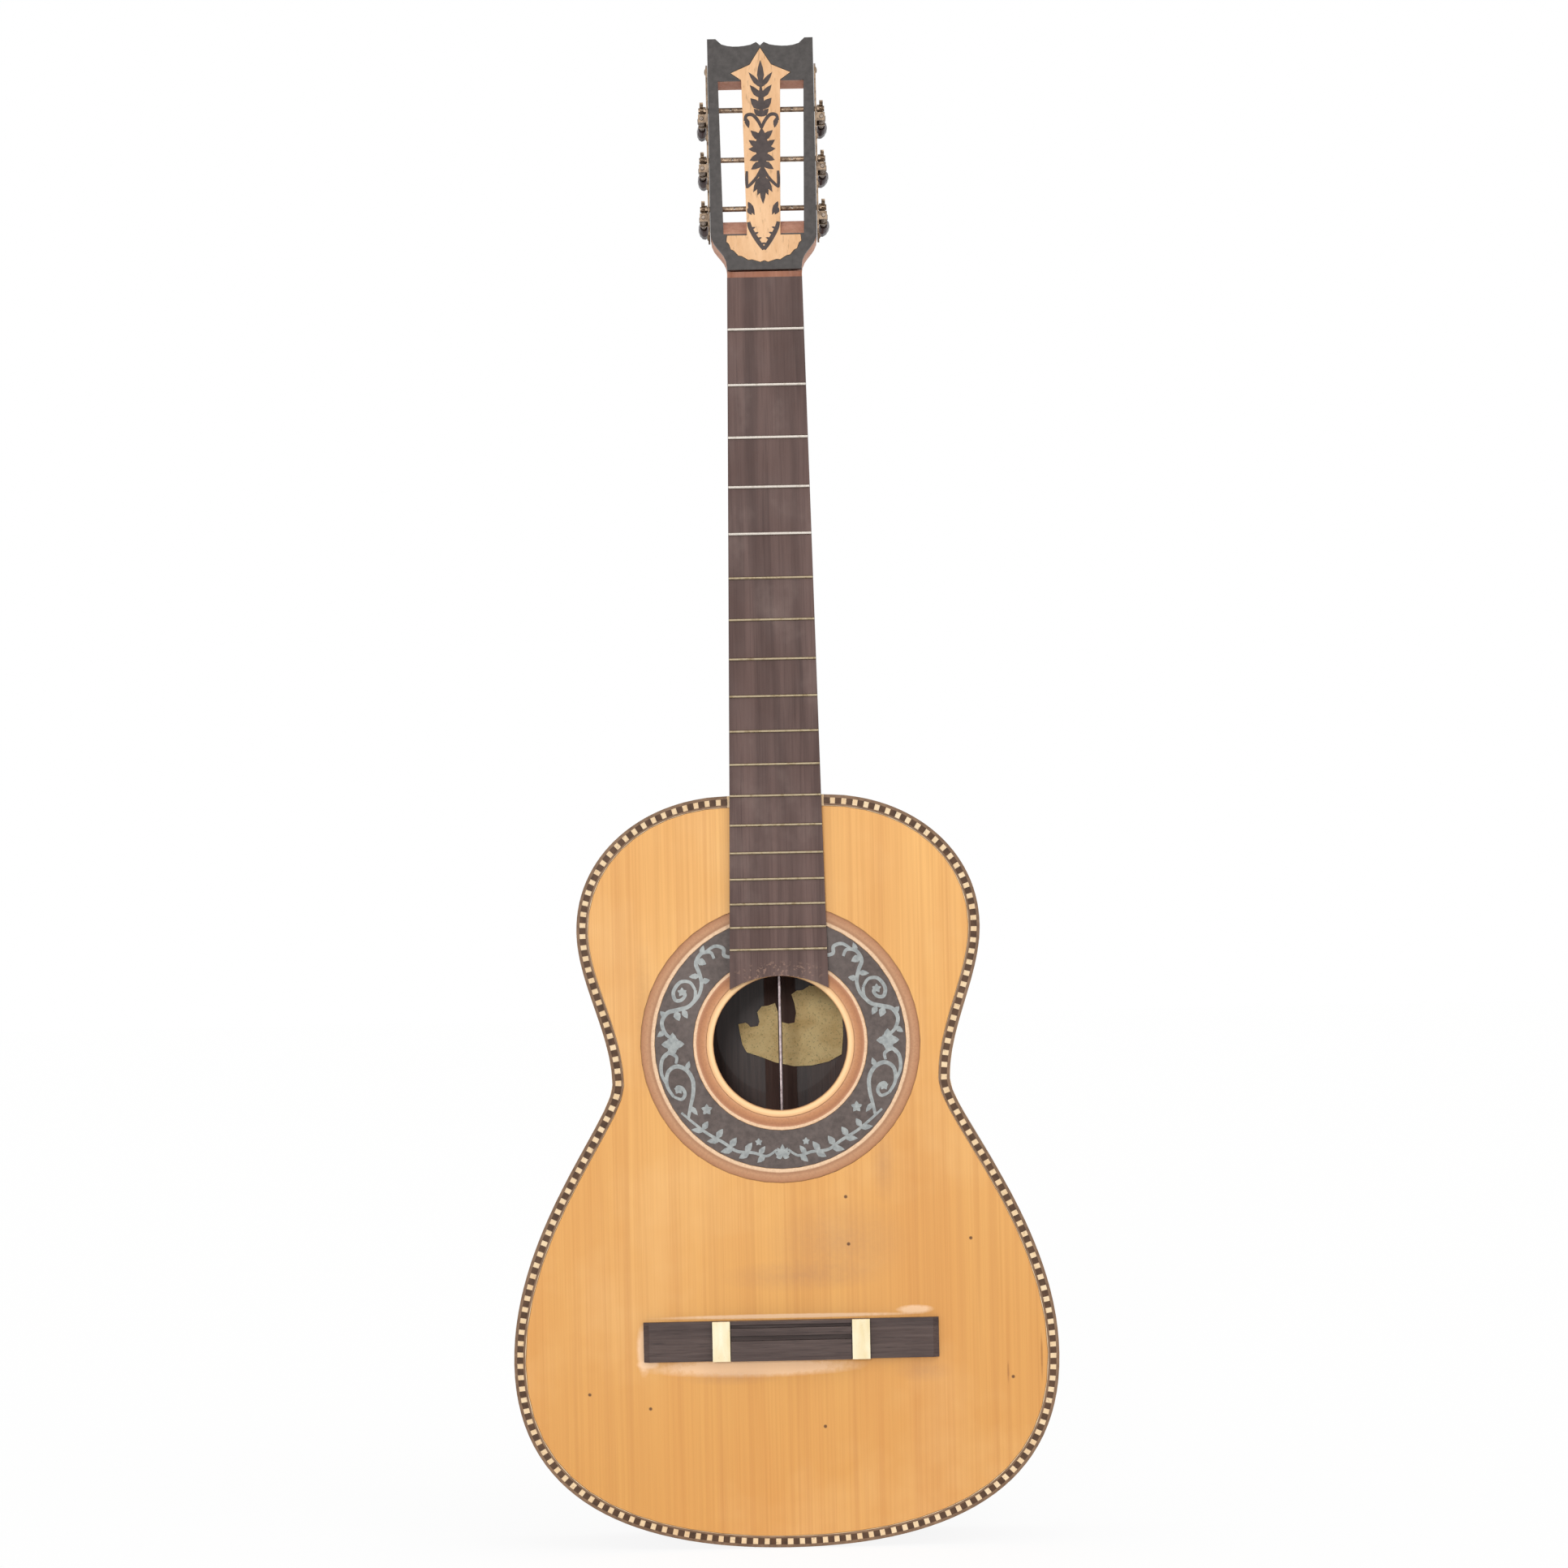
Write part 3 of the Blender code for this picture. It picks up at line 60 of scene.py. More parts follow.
# Sizes that follow from these and from the frame
FACE_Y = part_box("purfling")[0].y
NUT_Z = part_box("neck")[1].z + GAP
HOLE_Z = (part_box("rosette_main_band")[0].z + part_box("rosette_main_band")[1].z) / 2
BODY_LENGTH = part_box("purfling")[1].z
SHOULDER = (SHOULDER_HALF, BODY_LENGTH)
BAND_INNER_RADIUS = HOLE_RADIUS + ROSETTE_RIM
VENEER_FRONT = -(GAP + VENEER_THICKNESS)
PLATE_FACE_X = HEAD_HALF + GAP + PLATE_THICKNESS

# Inlaid shapes stand this far proud, each by one layer more than the last
RELIEF = 0.00010
LAYER = 0.0000012

# The camera, as the photograph has it
CAMERA_X, CAMERA_Z = 0.00556, 0.4729
CAMERA_DISTANCE = 3.5
PICTURE_WIDTH = 0.9714
CAMERA_ROLL = math.radians(1.18)
SENSOR = 36.0

# Each light's name and strength, and its tilt, turn and softness in degrees
LIGHTS = (("key_light", 0.95, 80, -7, 10), ("fill_light", 0.50, 50, 34, 40))
ROOM_LIGHT, WHITE = 0.66, 1.0
FLOOR_REACH, FLOOR_DROP = 8.0, 0.0005
FLOOR_TONE, FLOOR_ROUGHNESS = (0.86, 0.86, 0.85, 1), 0.9
FLOOR_GLOW, FLOOR_GLOW_SHARE = 1.04, 0.86

# The treble half of the body's outline: each curve's start, its reach at both ends, and its end
OUTLINE = (
    ((0, 0), (0.0978, 0), (0, -0.0849), LOWER_BOUT),
    (LOWER_BOUT, (0, 0.0809), (0, -0.0213), WAIST),
    (WAIST, (0, 0.0324), (0, -0.0317), UPPER_BOUT),
    (UPPER_BOUT, (0, 0.0485), (0.0515, 0), SHOULDER),
)
CURVE_STEPS = 60

# Half the neck's width at the body, where the edge band ends
NECK_HALF = 0.0285

# The edge band: the tiles' spacing, how far in they end and start, their share of the spacing and where
# the first one starts; then each line's inset and width
CHECKER_PERIOD = 0.0072
CHECKER_INNER, CHECKER_OUTER = 0.0057, 0.0019
TILE_SHARE, FIRST_TILE = 0.56, 0.25
EDGE_LINES = ((0.0010, 0.0019), (0.0062, 0.0013))


# Node material tools

METAL_SPECULAR, DULL_SPECULAR = 0.5, 0.28

# A soft spot's half depth, far beyond the board's, and the level at which the spot starts to show
SPOT_DEPTH, SPOT_START = 10, 0.12


def linear(rgb):
    """A colour given as 0 to 255 screen values, as Blender's linear values."""
    return [v / 12.92 if v <= 0.04045 else ((v + 0.055) / 1.055) ** 2.4 for v in (c / 255 for c in rgb)]


class Look:
    """A procedural material in the making, in the coordinates of the piece that wears it."""

    def __init__(self, name, roughness=0.5, metallic=0.0, coat=0.0):
        self.material = bpy.data.materials.new(name)
        self.material.use_nodes = True
        self.tree = self.material.node_tree
        self.shader = self.tree.nodes["Principled BSDF"]
        self.shader.inputs["Roughness"].default_value = roughness
        self.shader.inputs["Metallic"].default_value = metallic
        self.shader.inputs["Coat Weight"].default_value = coat
        specular = METAL_SPECULAR if metallic else DULL_SPECULAR
        self.shader.inputs["Specular IOR Level"].default_value = specular
        self.place = self.tree.nodes.new("ShaderNodeTexCoord").outputs["Object"]

    def node(self, kind, inputs=None, **settings):
        """A new shader node, with its settings and the values or links of its inputs."""
        made = self.tree.nodes.new("ShaderNode" + kind)
        for key, value in settings.items():
            setattr(made, key, value)
        for key, value in (inputs or {}).items():
            self.set(made.inputs[key], value)
        return made

    def set(self, socket, value):
        if isinstance(value, bpy.types.NodeSocket):
            self.tree.links.new(value, socket)
        else:
            socket.default_value = value

    def scaled(self, x, y, z):
        """The piece's coordinates, scaled along each axis."""
        return self.node("Mapping", {"Vector": self.place, "Scale": (x, y, z)}).outputs[0]

    def noise(self, stretch, scale=1.0, detail=4.0, rough=0.55, distortion=0.0):
        """Noise that runs long where the stretch is small."""
        inputs = {"Vector": self.scaled(*stretch), "Scale": scale, "Detail": detail}
        inputs.update({"Roughness": rough, "Distortion": distortion})
        return self.node("TexNoise", inputs).outputs["Fac"]

    def ramp(self, fac, stops):
        """A colour that runs through the stops, each a position and a screen colour."""
        made = self.node("ValToRGB", {"Fac": fac})
        elements = made.color_ramp.elements
        while len(elements) < len(stops):
            elements.new(0.5)
        for element, (position, colour) in zip(elements, stops):
            element.position = position
            element.color = (*linear(colour), 1.0)
        return made.outputs["Color"]

    def grey(self, fac, low, high, a=0.0, b=1.0):
        """Maps a value from low..high to a..b, clamped."""
        inputs = {"Value": fac, "From Min": low, "From Max": high, "To Min": a, "To Max": b}
        return self.node("MapRange", inputs, clamp=True).outputs["Result"]

    def mix(self, fac, a, b):
        """Runs from colour a to colour b; sockets 6 and 7 are the node's colour inputs."""
        made = self.node("Mix", data_type="RGBA")
        for index, value in ((0, fac), (6, a), (7, b)):
            if isinstance(value, (tuple, list)) and len(value) == 3:
                value = (*linear(value), 1.0)
            self.set(made.inputs[index], value)
        return made.outputs[2]

    def math(self, operation, a, b=0.0):
        return self.node("Math", {0: a, 1: b}, operation=operation).outputs[0]

    def blot(self, x, z, half_x, half_z, edge=0.35):
        """A soft spot on the face, given in millimetres: 1 inside, fading out at its edge."""
        inputs = {"Vector": self.place, "Location": (x * MM, 0, z * MM)}
        inputs["Scale"] = (half_x * MM, SPOT_DEPTH, half_z * MM)
        mapped = self.node("Mapping", inputs, vector_type="TEXTURE").outputs[0]
        ball = self.node("TexGradient", {"Vector": mapped}, gradient_type="SPHERICAL").outputs["Fac"]
        ragged = self.math("MULTIPLY", ball, self.math("ADD", self.noise((1, 1, 1), 420), 0.5))
        return self.grey(ragged, SPOT_START, SPOT_START + edge)

    def stain(self, base, spot, strength, colour):
        """The base colour with a spot of another colour laid over it."""
        return self.mix(self.math("MULTIPLY", spot, strength), base, colour)

    def radius(self):
        """Distance from the middle of the sound hole, in metres."""
        flat = self.node("VectorMath", {0: self.place, 1: (1, 0, 1)}, operation="MULTIPLY").outputs[0]
        inputs = {0: flat, 1: (0, 0, HOLE_Z)}
        return self.node("VectorMath", inputs, operation="DISTANCE").outputs["Value"]

    def finish(self, colour, rough=None, height=None, bump=0.3, depth=0.0002):
        """Wires the colour, the roughness and the bump, and gives the finished material."""
        self.set(self.shader.inputs["Base Color"], colour)
        if rough is not None:
            self.set(self.shader.inputs["Roughness"], rough)
        if height is not None:
            made = self.node("Bump", {"Strength": bump, "Distance": depth, "Height": height})
            self.set(self.shader.inputs["Normal"], made.outputs["Normal"])
        return self.material


# Materials

# Marks on the soundboard in millimetres: the middle, across and up, and then the half sizes. A crack's
# row ends with its strength, and the dents are all of one size.
WORN_SPOTS = (
    (-20, 112.0, 82, 7.5), (-88.5, 124, 5.5, 20), (0, 143.4, 100, 1.8), (80, 146, 14, 3.5),
    (-86, 115, 9, 3.5),
)
SOILED_SPOTS = ((62, 236, 9, 30), (33, 188, 55, 34), (8, 168, 60, 12), (84, 108, 22, 9), (-34, 106, 40, 6))
CRACKS = ((158, 115, 1.0, 20, 0.55), (137, 106, 0.9, 9, 0.5), (-84, 330, 7, 60, 0.18))
DENTS = ((38.5, 216.5), (39.7, 187.2), (115.5, 189.4), (-85, 87.5), (-122.5, 97), (23, 74.5), (140, 103))
DENT_HALF = 1.5

# How far the rim's tone fades into the board's, in metres
RIM_EDGE = 0.0002

# Tones round the sound hole, by the distance from its middle in tenths of a metre
RADIUS_SCALE = 10
RIM_STOPS = (
    (0.415, (150, 92, 44)), (0.424, (250, 206, 150)), (0.436, (255, 214, 160)), (0.460, (224, 166, 112)),
)
INNER_STOPS = (
    (0.461, (206, 150, 108)), (0.480, (196, 136, 92)), (0.505, (176, 118, 80)), (0.519, (190, 132, 96)),
    (0.522, (244, 206, 168)), (0.540, (236, 196, 158)),
)
OUTER_STOPS = (
    (0.781, (240, 204, 168)), (0.799, (236, 198, 160)), (0.803, (170, 122, 88)), (0.825, (196, 146, 108)),
    (0.852, (184, 130, 92)), (0.866, (160, 108, 70)),
)


def grain_wood(name, dark, light, stretch, roughness=0.45, coat=0.0, pores=0.35, bump=0.25):
    """Wood with long fine fibres, slower colour streaks and darker pores."""
    look = Look(name, roughness, coat=coat)
    fibre = look.noise(stretch, 1.0, 6.0, 0.7)
    streak = look.noise(tuple(s / 9 for s in stretch), 1.0, 3.0, 0.5, 0.4)
    both = look.math("ADD", look.math("MULTIPLY", fibre, 0.45), look.math("MULTIPLY", streak, 0.55))
    colour = look.mix(look.grey(both, 0.36, 0.64), dark, light)
    pore = look.noise(tuple(s * 2.3 for s in stretch), 1.0, 2.0, 0.5)
    colour = look.mix(look.grey(pore, 0.60, 0.72, 0.0, pores), colour, tuple(c * 0.55 for c in dark))
    return look.finish(colour, look.grey(fibre, 0.3, 0.7, roughness + 0.12, roughness - 0.08), pore, bump)


def top_wood():
    """Aged spruce: fine straight grain, darker towards its foot, with worn, soiled and dented spots."""
    look = Look("old_spruce", 0.42, coat=0.12)
    fine = look.noise((820, 60, 5), 1.0, 4.0, 0.65)
    ring = look.noise((210, 30, 2.2), 1.0, 2.0, 0.5, 0.3)
    broad = look.noise((16, 5, 2.4), 1.0, 3.0, 0.55, 0.5)
    cloud = look.noise((9, 9, 9), 1.0, 4.0, 0.6)
    height = look.node("SeparateXYZ", {0: look.place}).outputs["Z"]
    low_tone = look.grey(height, 0.05, 0.46, 0.0, 1.0)
    base = look.mix(low_tone, (222, 162, 86), (245, 188, 113))
    base = look.mix(look.grey(broad, 0.38, 0.66, 0.0, 0.55), base, (216, 150, 78))
    base = look.mix(look.grey(cloud, 0.50, 0.75, 0.0, 0.35), base, (250, 205, 140))
    base = look.mix(look.grey(fine, 0.42, 0.68, 0.0, 0.28), base, (196, 128, 62))
    base = look.mix(look.grey(ring, 0.52, 0.72, 0.0, 0.24), base, (190, 122, 60))
    for spot in WORN_SPOTS:
        base = look.stain(base, look.blot(*spot), 0.75, (252, 212, 172))
    for spot in SOILED_SPOTS:
        base = look.stain(base, look.blot(*spot, 0.9), 0.30, (168, 122, 92))
    for x, z in DENTS:
        base = look.stain(base, look.blot(x, z, DENT_HALF, DENT_HALF, 0.4), 0.9, (88, 52, 28))
    for *spot, strength in CRACKS:
        base = look.stain(base, look.blot(*spot, 0.6), strength, (140, 84, 42))
    rim = look.ramp(look.math("MULTIPLY", look.radius(), RADIUS_SCALE), RIM_STOPS)
    inside_rim = look.grey(look.radius(), BAND_INNER_RADIUS, BAND_INNER_RADIUS + RIM_EDGE, 1.0, 0.0)
    base = look.mix(inside_rim, base, rim)
    return look.finish(base, look.grey(cloud, 0.3, 0.7, 0.52, 0.36), fine, 0.18, 0.00012)


def ring_wood(name, stops):
    """A turned band about the sound hole, its tone set by the distance from the middle."""
    look = Look(name, 0.45, coat=0.1)
    wander = look.math("MULTIPLY", look.math("SUBTRACT", look.noise((1, 1, 1), 60), 0.5), 0.0007)
    tone = look.ramp(look.math("MULTIPLY", look.math("ADD", look.radius(), wander), RADIUS_SCALE), stops)
    fine = look.noise((1, 1, 1), 900, 3.0)
    tone = look.mix(look.grey(fine, 0.45, 0.7, 0.0, 0.25), tone, (140, 92, 60))
    return look.finish(tone, None, fine, 0.15)


def mottled(name, dark, light, roughness, scale=260):
    """A dull, faintly mottled ground, such as stained mastic, old inlay or a rubbed facing."""
    look = Look(name, roughness, coat=0.08)
    mottle = look.noise((1, 1, 1), scale, 5.0, 0.6)
    cloud = look.noise((1, 1, 0.4), 28, 3.0)
    tone = look.mix(look.grey(mottle, 0.35, 0.7), dark, light)
    tone = look.mix(look.grey(cloud, 0.5, 0.72, 0.0, 0.35), tone, tuple(c * 1.12 for c in light))
    return look.finish(tone, look.grey(cloud, 0.3, 0.7, roughness + 0.1, roughness - 0.1), mottle, 0.12)


def board_wood():
    """The fingerboard: dark wood with long fibres, paler where it is rubbed, with pale specks at its end."""
    look = Look("fingerboard_wood", 0.48)
    fibre = look.noise((700, 200, 14), 1.0, 5.0, 0.7)
    streak = look.noise((90, 30, 5), 1.0, 3.0, 0.55, 0.4)
    base = look.mix(look.grey(streak, 0.36, 0.66), (80, 59, 54), (106, 82, 76))
    base = look.mix(look.grey(fibre, 0.48, 0.70, 0.0, 0.55), base, (62, 42, 38))
    rub = look.noise((30, 30, 22), 1.0, 4.0, 0.6)
    base = look.mix(look.grey(rub, 0.55, 0.75, 0.0, 0.35), base, (130, 107, 98))
    specks = look.grey(look.noise((1, 1, 1), 520), 0.56, 0.62)
    chips = look.math("MULTIPLY", look.blot(0, 356, 34, 9, 0.3), specks)
    base = look.stain(base, chips, 0.35, (176, 140, 120))
    return look.finish(base, look.grey(rub, 0.3, 0.7, 0.58, 0.40), fibre, 0.35, 0.00015)


def old_metal(name, bright, tarnish, roughness, amount=0.5, scale=300):
    """Metal with patches of tarnish and fine scratches."""
    look = Look(name, roughness, 1.0)
    patch = look.noise((1, 1, 1), scale, 5.0, 0.65)
    scratch = look.noise((2600, 300, 300), 1.0, 2.0)
    tone = look.mix(look.grey(patch, 0.62 - amount * 0.4, 0.72), bright, tarnish)
    rough = look.grey(patch, 0.35, 0.7, roughness - 0.08, roughness + 0.2)
    return look.finish(tone, rough, scratch, 0.12, 0.00005)


def smooth_stuff(name, dark, light, roughness, scale=160, coat=0.0):
    """Bone or horn: a dense close-grained material with a slight cloud."""
    look = Look(name, roughness, coat=coat)
    cloud = look.noise((1, 1, 0.25), scale, 4.0, 0.5, 0.3)
    pit = look.noise((1, 1, 1), scale * 9, 2.0)
    tone = look.mix(look.grey(cloud, 0.35, 0.68), dark, light)
    tone = look.mix(look.grey(pit, 0.64, 0.75, 0.0, 0.3), tone, tuple(c * 0.7 for c in dark))
    rough = look.grey(cloud, 0.3, 0.7, roughness + 0.08, roughness - 0.05)
    return look.finish(tone, rough, pit, 0.1, 0.0001)


def old_paper():
    """Foxed paper with brown stains and dark specks, and nothing written on it."""
    look = Look("old_paper", 0.9)
    fibre = look.noise((1, 1, 1), 900, 4.0)
    stain = look.noise((1, 1, 1), 70, 5.0, 0.65, 0.4)
    tone = look.mix(look.grey(stain, 0.36, 0.68), (255, 226, 164), (228, 192, 130))
    tone = look.mix(look.grey(fibre, 0.55, 0.72, 0.0, 0.5), tone, (104, 82, 46))
    return look.finish(tone, None, fibre, 0.3)


def build_looks():
    """Every material by a short name."""
    return {
        "spruce": top_wood(),
        "inner_spruce": grain_wood("inner_spruce", (150, 104, 62), (178, 130, 84), (300, 300, 14), 0.7),
        "sides": grain_wood("side_rosewood", (58, 32, 24), (104, 62, 44), (16, 420, 16), 0.34, 0.25),
        "back": grain_wood("back_rosewood", (42, 24, 18), (76, 45, 33), (420, 60, 14), 0.34, 0.25),
        "strip": grain_wood("strip_wood", (60, 36, 28), (84, 52, 40), (420, 420, 16), 0.6),
        "cedar": grain_wood("neck_cedar", (144, 88, 62), (180, 116, 84), (420, 420, 16), 0.42, 0.15),
        "head": grain_wood("head_cedar", (184, 130, 104), (216, 162, 134), (420, 420, 24), 0.5),
        "board": board_wood(),
        "bridge": grain_wood("bridge_wood", (58, 45, 43), (92, 76, 71), (30, 300, 700), 0.48, 0.0, 0.5),
        "facing": mottled("head_facing", (64, 60, 58), (82, 77, 75), 0.42),
        "pale": grain_wood("pale_inlay", (216, 166, 118), (240, 196, 152), (300, 300, 20), 0.5),
        "dark_inlay": mottled("dark_inlay", (64, 54, 52), (82, 70, 67), 0.45),
        "ground": mottled("rosette_ground", (80, 69, 65), (104, 91, 86), 0.45),
        "vine": mottled("vine_inlay", (142, 146, 146), (176, 180, 178), 0.5, 400),
        "inner_band": ring_wood("inner_band_wood", INNER_STOPS),
        "outer_band": ring_wood("outer_band_wood", OUTER_STOPS),
        "cream": grain_wood("cream_maple", (228, 192, 146), (246, 222, 184), (200, 200, 200), 0.5),
        "checker_dark": mottled("checker_dark", (66, 42, 22), (92, 62, 38), 0.5),
        "edge_line": mottled("edge_line", (112, 84, 62), (140, 110, 84), 0.5),
        "bone": smooth_stuff("old_bone", (240, 222, 176), (254, 243, 212), 0.35),
        "horn": smooth_stuff("dark_horn", (58, 46, 48), (84, 70, 70), 0.28, 240, 0.3),
        "brass": old_metal("tuner_brass", (150, 130, 110), (84, 70, 60), 0.42),
        "fret_nickel": old_metal("fret_nickel", (214, 206, 196), (170, 160, 148), 0.32, 0.3),
        "fret_brass": old_metal("fret_brass", (182, 166, 138), (138, 120, 92), 0.36, 0.4),
        "steel": old_metal("rod_steel", (212, 196, 196), (150, 130, 128), 0.4, 0.5),
        "worm": old_metal("worm_steel", (150, 136, 124), (88, 76, 68), 0.4),
        "paper": old_paper(),
    }


NODE_LOOKS = {
    "soundboard": "spruce", "purfling": "cream",
    "rosette_inner_band": "inner_band", "rosette_main_band": "ground", "rosette_outer_band": "outer_band",
    "back": "back", "back_strip": "strip", "rib_bass": "sides", "rib_treble": "sides",
    "harmonic_bar_lower": "inner_spruce", "harmonic_bar_upper": "inner_spruce",
    "tail_block": "cedar", "tension_rod": "steel", "label": "paper",
    "bridge": "bridge", "bridge_bone_bass": "bone", "bridge_bone_treble": "bone",
    "neck": "cedar", "fingerboard": "board",
    "headstock": "head", "head_veneer": "facing", "head_inlay": "pale",
    "tuner_plate_bass": "brass", "tuner_plate_treble": "brass",
}
FIRST_BRASS_FRET = 6


def dress_nodes(looks):
    """Gives each node of the frame its material."""
    for name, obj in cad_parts.items():
        if name.startswith("fret_"):
            kind = "fret_nickel" if int(name[-2:]) < FIRST_BRASS_FRET else "fret_brass"
        elif name.startswith("button_"):
            kind = "horn"
        elif name.startswith("worm_"):
            kind = "worm"
        elif name.startswith("roller_"):
            kind = "brass"
        else:
            kind = NODE_LOOKS[name]
        obj.data.materials.clear()
        obj.data.materials.append(looks[kind])


# Thin inlaid pieces

# The share of a shape's lift at which its walls end
FOOT_SHARE = 0.02

# A leaf's half width at points along it, and the stretch of a sine that a stem's width follows
LEAF_SWELL = ((0.15, 0.55), (0.4, 1.0), (0.7, 0.7), (0.9, 0.25))
SWELL_START, SWELL_SPAN = 0.12, 0.76


class Relief:
    """Flat shapes raised a hair above a plane, joined in one mesh.

    A shape is an outline of (x, z) points. The plane lies at y = front, and matrix places the whole mesh.
    """

    def __init__(self, name, look, slot, front, matrix=None):
        self.name, self.look, self.slot = name, look, slot
        self.front, self.matrix = front, matrix
        self.bm = bmesh.new()
        self.laid = 0.0

    def next_lift(self, lift):
        """Each shape lies a hair higher than the last, so that none share a plane."""
        self.laid += LAYER
        return lift + self.laid

    def shape(self, outline, lift=RELIEF):
        """A flat shape with upright walls down to just above the plane."""
        raised = self.next_lift(lift)
        near = [self.bm.verts.new((x, self.front - raised, z)) for x, z in outline]
        far = [self.bm.verts.new((x, self.front - lift * FOOT_SHARE, z)) for x, z in outline]
        self.bm.faces.new(near)
        self.bm.faces.new(far[::-1])
        for i in range(len(near)):
            j = (i + 1) % len(near)
            self.bm.faces.new((near[j], near[i], far[i], far[j]))

    def ribbon(self, points, widths):
        """A band along a path, with its own width at each point."""
        lefts, rights = [], []
        for i, point in enumerate(points):
            before, after = points[max(i - 1, 0)], points[min(i + 1, len(points) - 1)]
            along = (Vector(after) - Vector(before)).normalized()
            side = Vector((-along.y, along.x)) * widths[i] / 2
            lefts.append(tuple(Vector(point) + side))
            rights.append(tuple(Vector(point) - side))
        rows = []
        for lift in (self.next_lift(RELIEF), RELIEF * FOOT_SHARE):
            y = self.front - lift
            rows.append([[self.bm.verts.new((x, y, z)) for x, z in edge] for edge in (lefts, rights)])
        (left, right), (left_low, right_low) = rows
        for i in range(len(points) - 1):
            self.bm.faces.new((left[i], left[i + 1], right[i + 1], right[i]))
            self.bm.faces.new((left_low[i], right_low[i], right_low[i + 1], left_low[i + 1]))
            self.bm.faces.new((left[i], left_low[i], left_low[i + 1], left[i + 1]))
            self.bm.faces.new((right[i], right[i + 1], right_low[i + 1], right_low[i]))
        for i in (0, -1):
            self.bm.faces.new((left[i], right[i], right_low[i], left_low[i]))

    def leaf(self, base, tip, width):
        """A pointed leaf from its base to its tip."""
        a, b = Vector(base), Vector(tip)
        along = b - a
        side = Vector((-along.y, along.x)).normalized() * width / 2
        left = [tuple(a + along * t + side * s) for t, s in LEAF_SWELL]
        right = [tuple(a + along * t - side * s) for t, s in reversed(LEAF_SWELL)]
        self.shape([tuple(a)] + left + [tuple(b)] + right)

    def done(self):
        """The finished object, riding on the guitar."""
        bmesh.ops.recalc_face_normals(self.bm, faces=self.bm.faces)
        mesh = bpy.data.meshes.new(self.name)
        self.bm.to_mesh(mesh)
        self.bm.free()
        if self.matrix:
            mesh.transform(self.matrix)
        mesh.materials.append(self.look)
        made = bpy.data.objects.new(self.name, mesh)
        bpy.context.scene.collection.objects.link(made)
        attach(made, GUITAR)
        return made


def smooth_path(points, steps=6):
    """A smooth curve through the points."""
    path = []
    last = len(points) - 1
    for i in range(last):
        p0, p1, p2, p3 = (Vector(points[min(max(k, 0), last)]) for k in (i - 1, i, i + 1, i + 2))
        for step in range(steps):
            t = step / steps
            a = p1 * 2
            b = (p2 - p0) * t
            c = (p0 * 2 - p1 * 5 + p2 * 4 - p3) * t * t
            d = (p1 * 3 - p0 - p2 * 3 + p3) * t * t * t
            path.append(tuple((a + b + c + d) / 2))
    return path + [tuple(points[-1])]


def tapered(points, width, ends):
    """Widths along a path that thin towards both ends, but never to less than the given share."""
    last = len(points) - 1
    swell = [math.sin(math.pi * (SWELL_START + SWELL_SPAN * i / last)) for i in range(last + 1)]
    return [width * (ends + (1 - ends) * s) for s in swell]


# Edge band


def outline_walk():
    """Rows of the length so far, a point and the inward normal, along the treble half of the outline."""
    points = []
    for start, reach_out, reach_in, end in OUTLINE:
        a, d = Vector(start), Vector(end)
        b, c = a + Vector(reach_out), d + Vector(reach_in)
        for i in range(CURVE_STEPS):
            t = i / CURVE_STEPS
            s = 1 - t
            points.append(a * s**3 + b * 3 * s * s * t + c * 3 * s * t * t + d * t**3)
    points += [Vector((half, BODY_LENGTH)) for half in (SHOULDER_HALF, NECK_HALF, 0)]
    walked, rows = 0.0, []
    for i, point in enumerate(points[:-1]):
        along = points[i + 1] - point
        rows.append((walked, point, Vector((-along.y, along.x)).normalized()))
        walked += along.length
    return rows


def at_length(rows, length):
    """The point and the inward normal at a length along the outline."""
    for (s0, p0, n0), (s1, p1, n1) in zip(rows, rows[1:]):
        if s0 <= length <= s1:
            t = (length - s0) / (s1 - s0)
            return p0.lerp(p1, t), n0.lerp(n1, t).normalized()
    return rows[-1][1], rows[-1][2]


def edge_band(looks):
    """Dark tiles along the cream band, with a dark line on each side of them."""
    rows = outline_walk()
    total = rows[-1][0]
    count = int(total / CHECKER_PERIOD)
    tiles = Relief("edge_tiles", looks["checker_dark"], "checker", FACE_Y)
    lines = Relief("edge_lines", looks["edge_line"], "checker", FACE_Y)
    for side in (1, -1):
        for number in range(count):
            start = (number + FIRST_TILE) * total / count
            outer, inner = [], []
            for share in (0, 0.5, 1):
                point, normal = at_length(rows, start + share * CHECKER_PERIOD * TILE_SHARE)
                outer.append(point + normal * CHECKER_OUTER)
                inner.append(point + normal * CHECKER_INNER)
            tiles.shape([(side * p.x, p.y) for p in outer + inner[::-1]])
        for inset, width in EDGE_LINES:
            path = [p + n * inset for s, p, n in rows[::2]]
            lines.ribbon([(side * p.x, p.y) for p in path], [width] * len(path))
    tiles.done()
    lines.done()


# Rosette ornament, in degrees from the bottom of the ring and millimetres from its middle

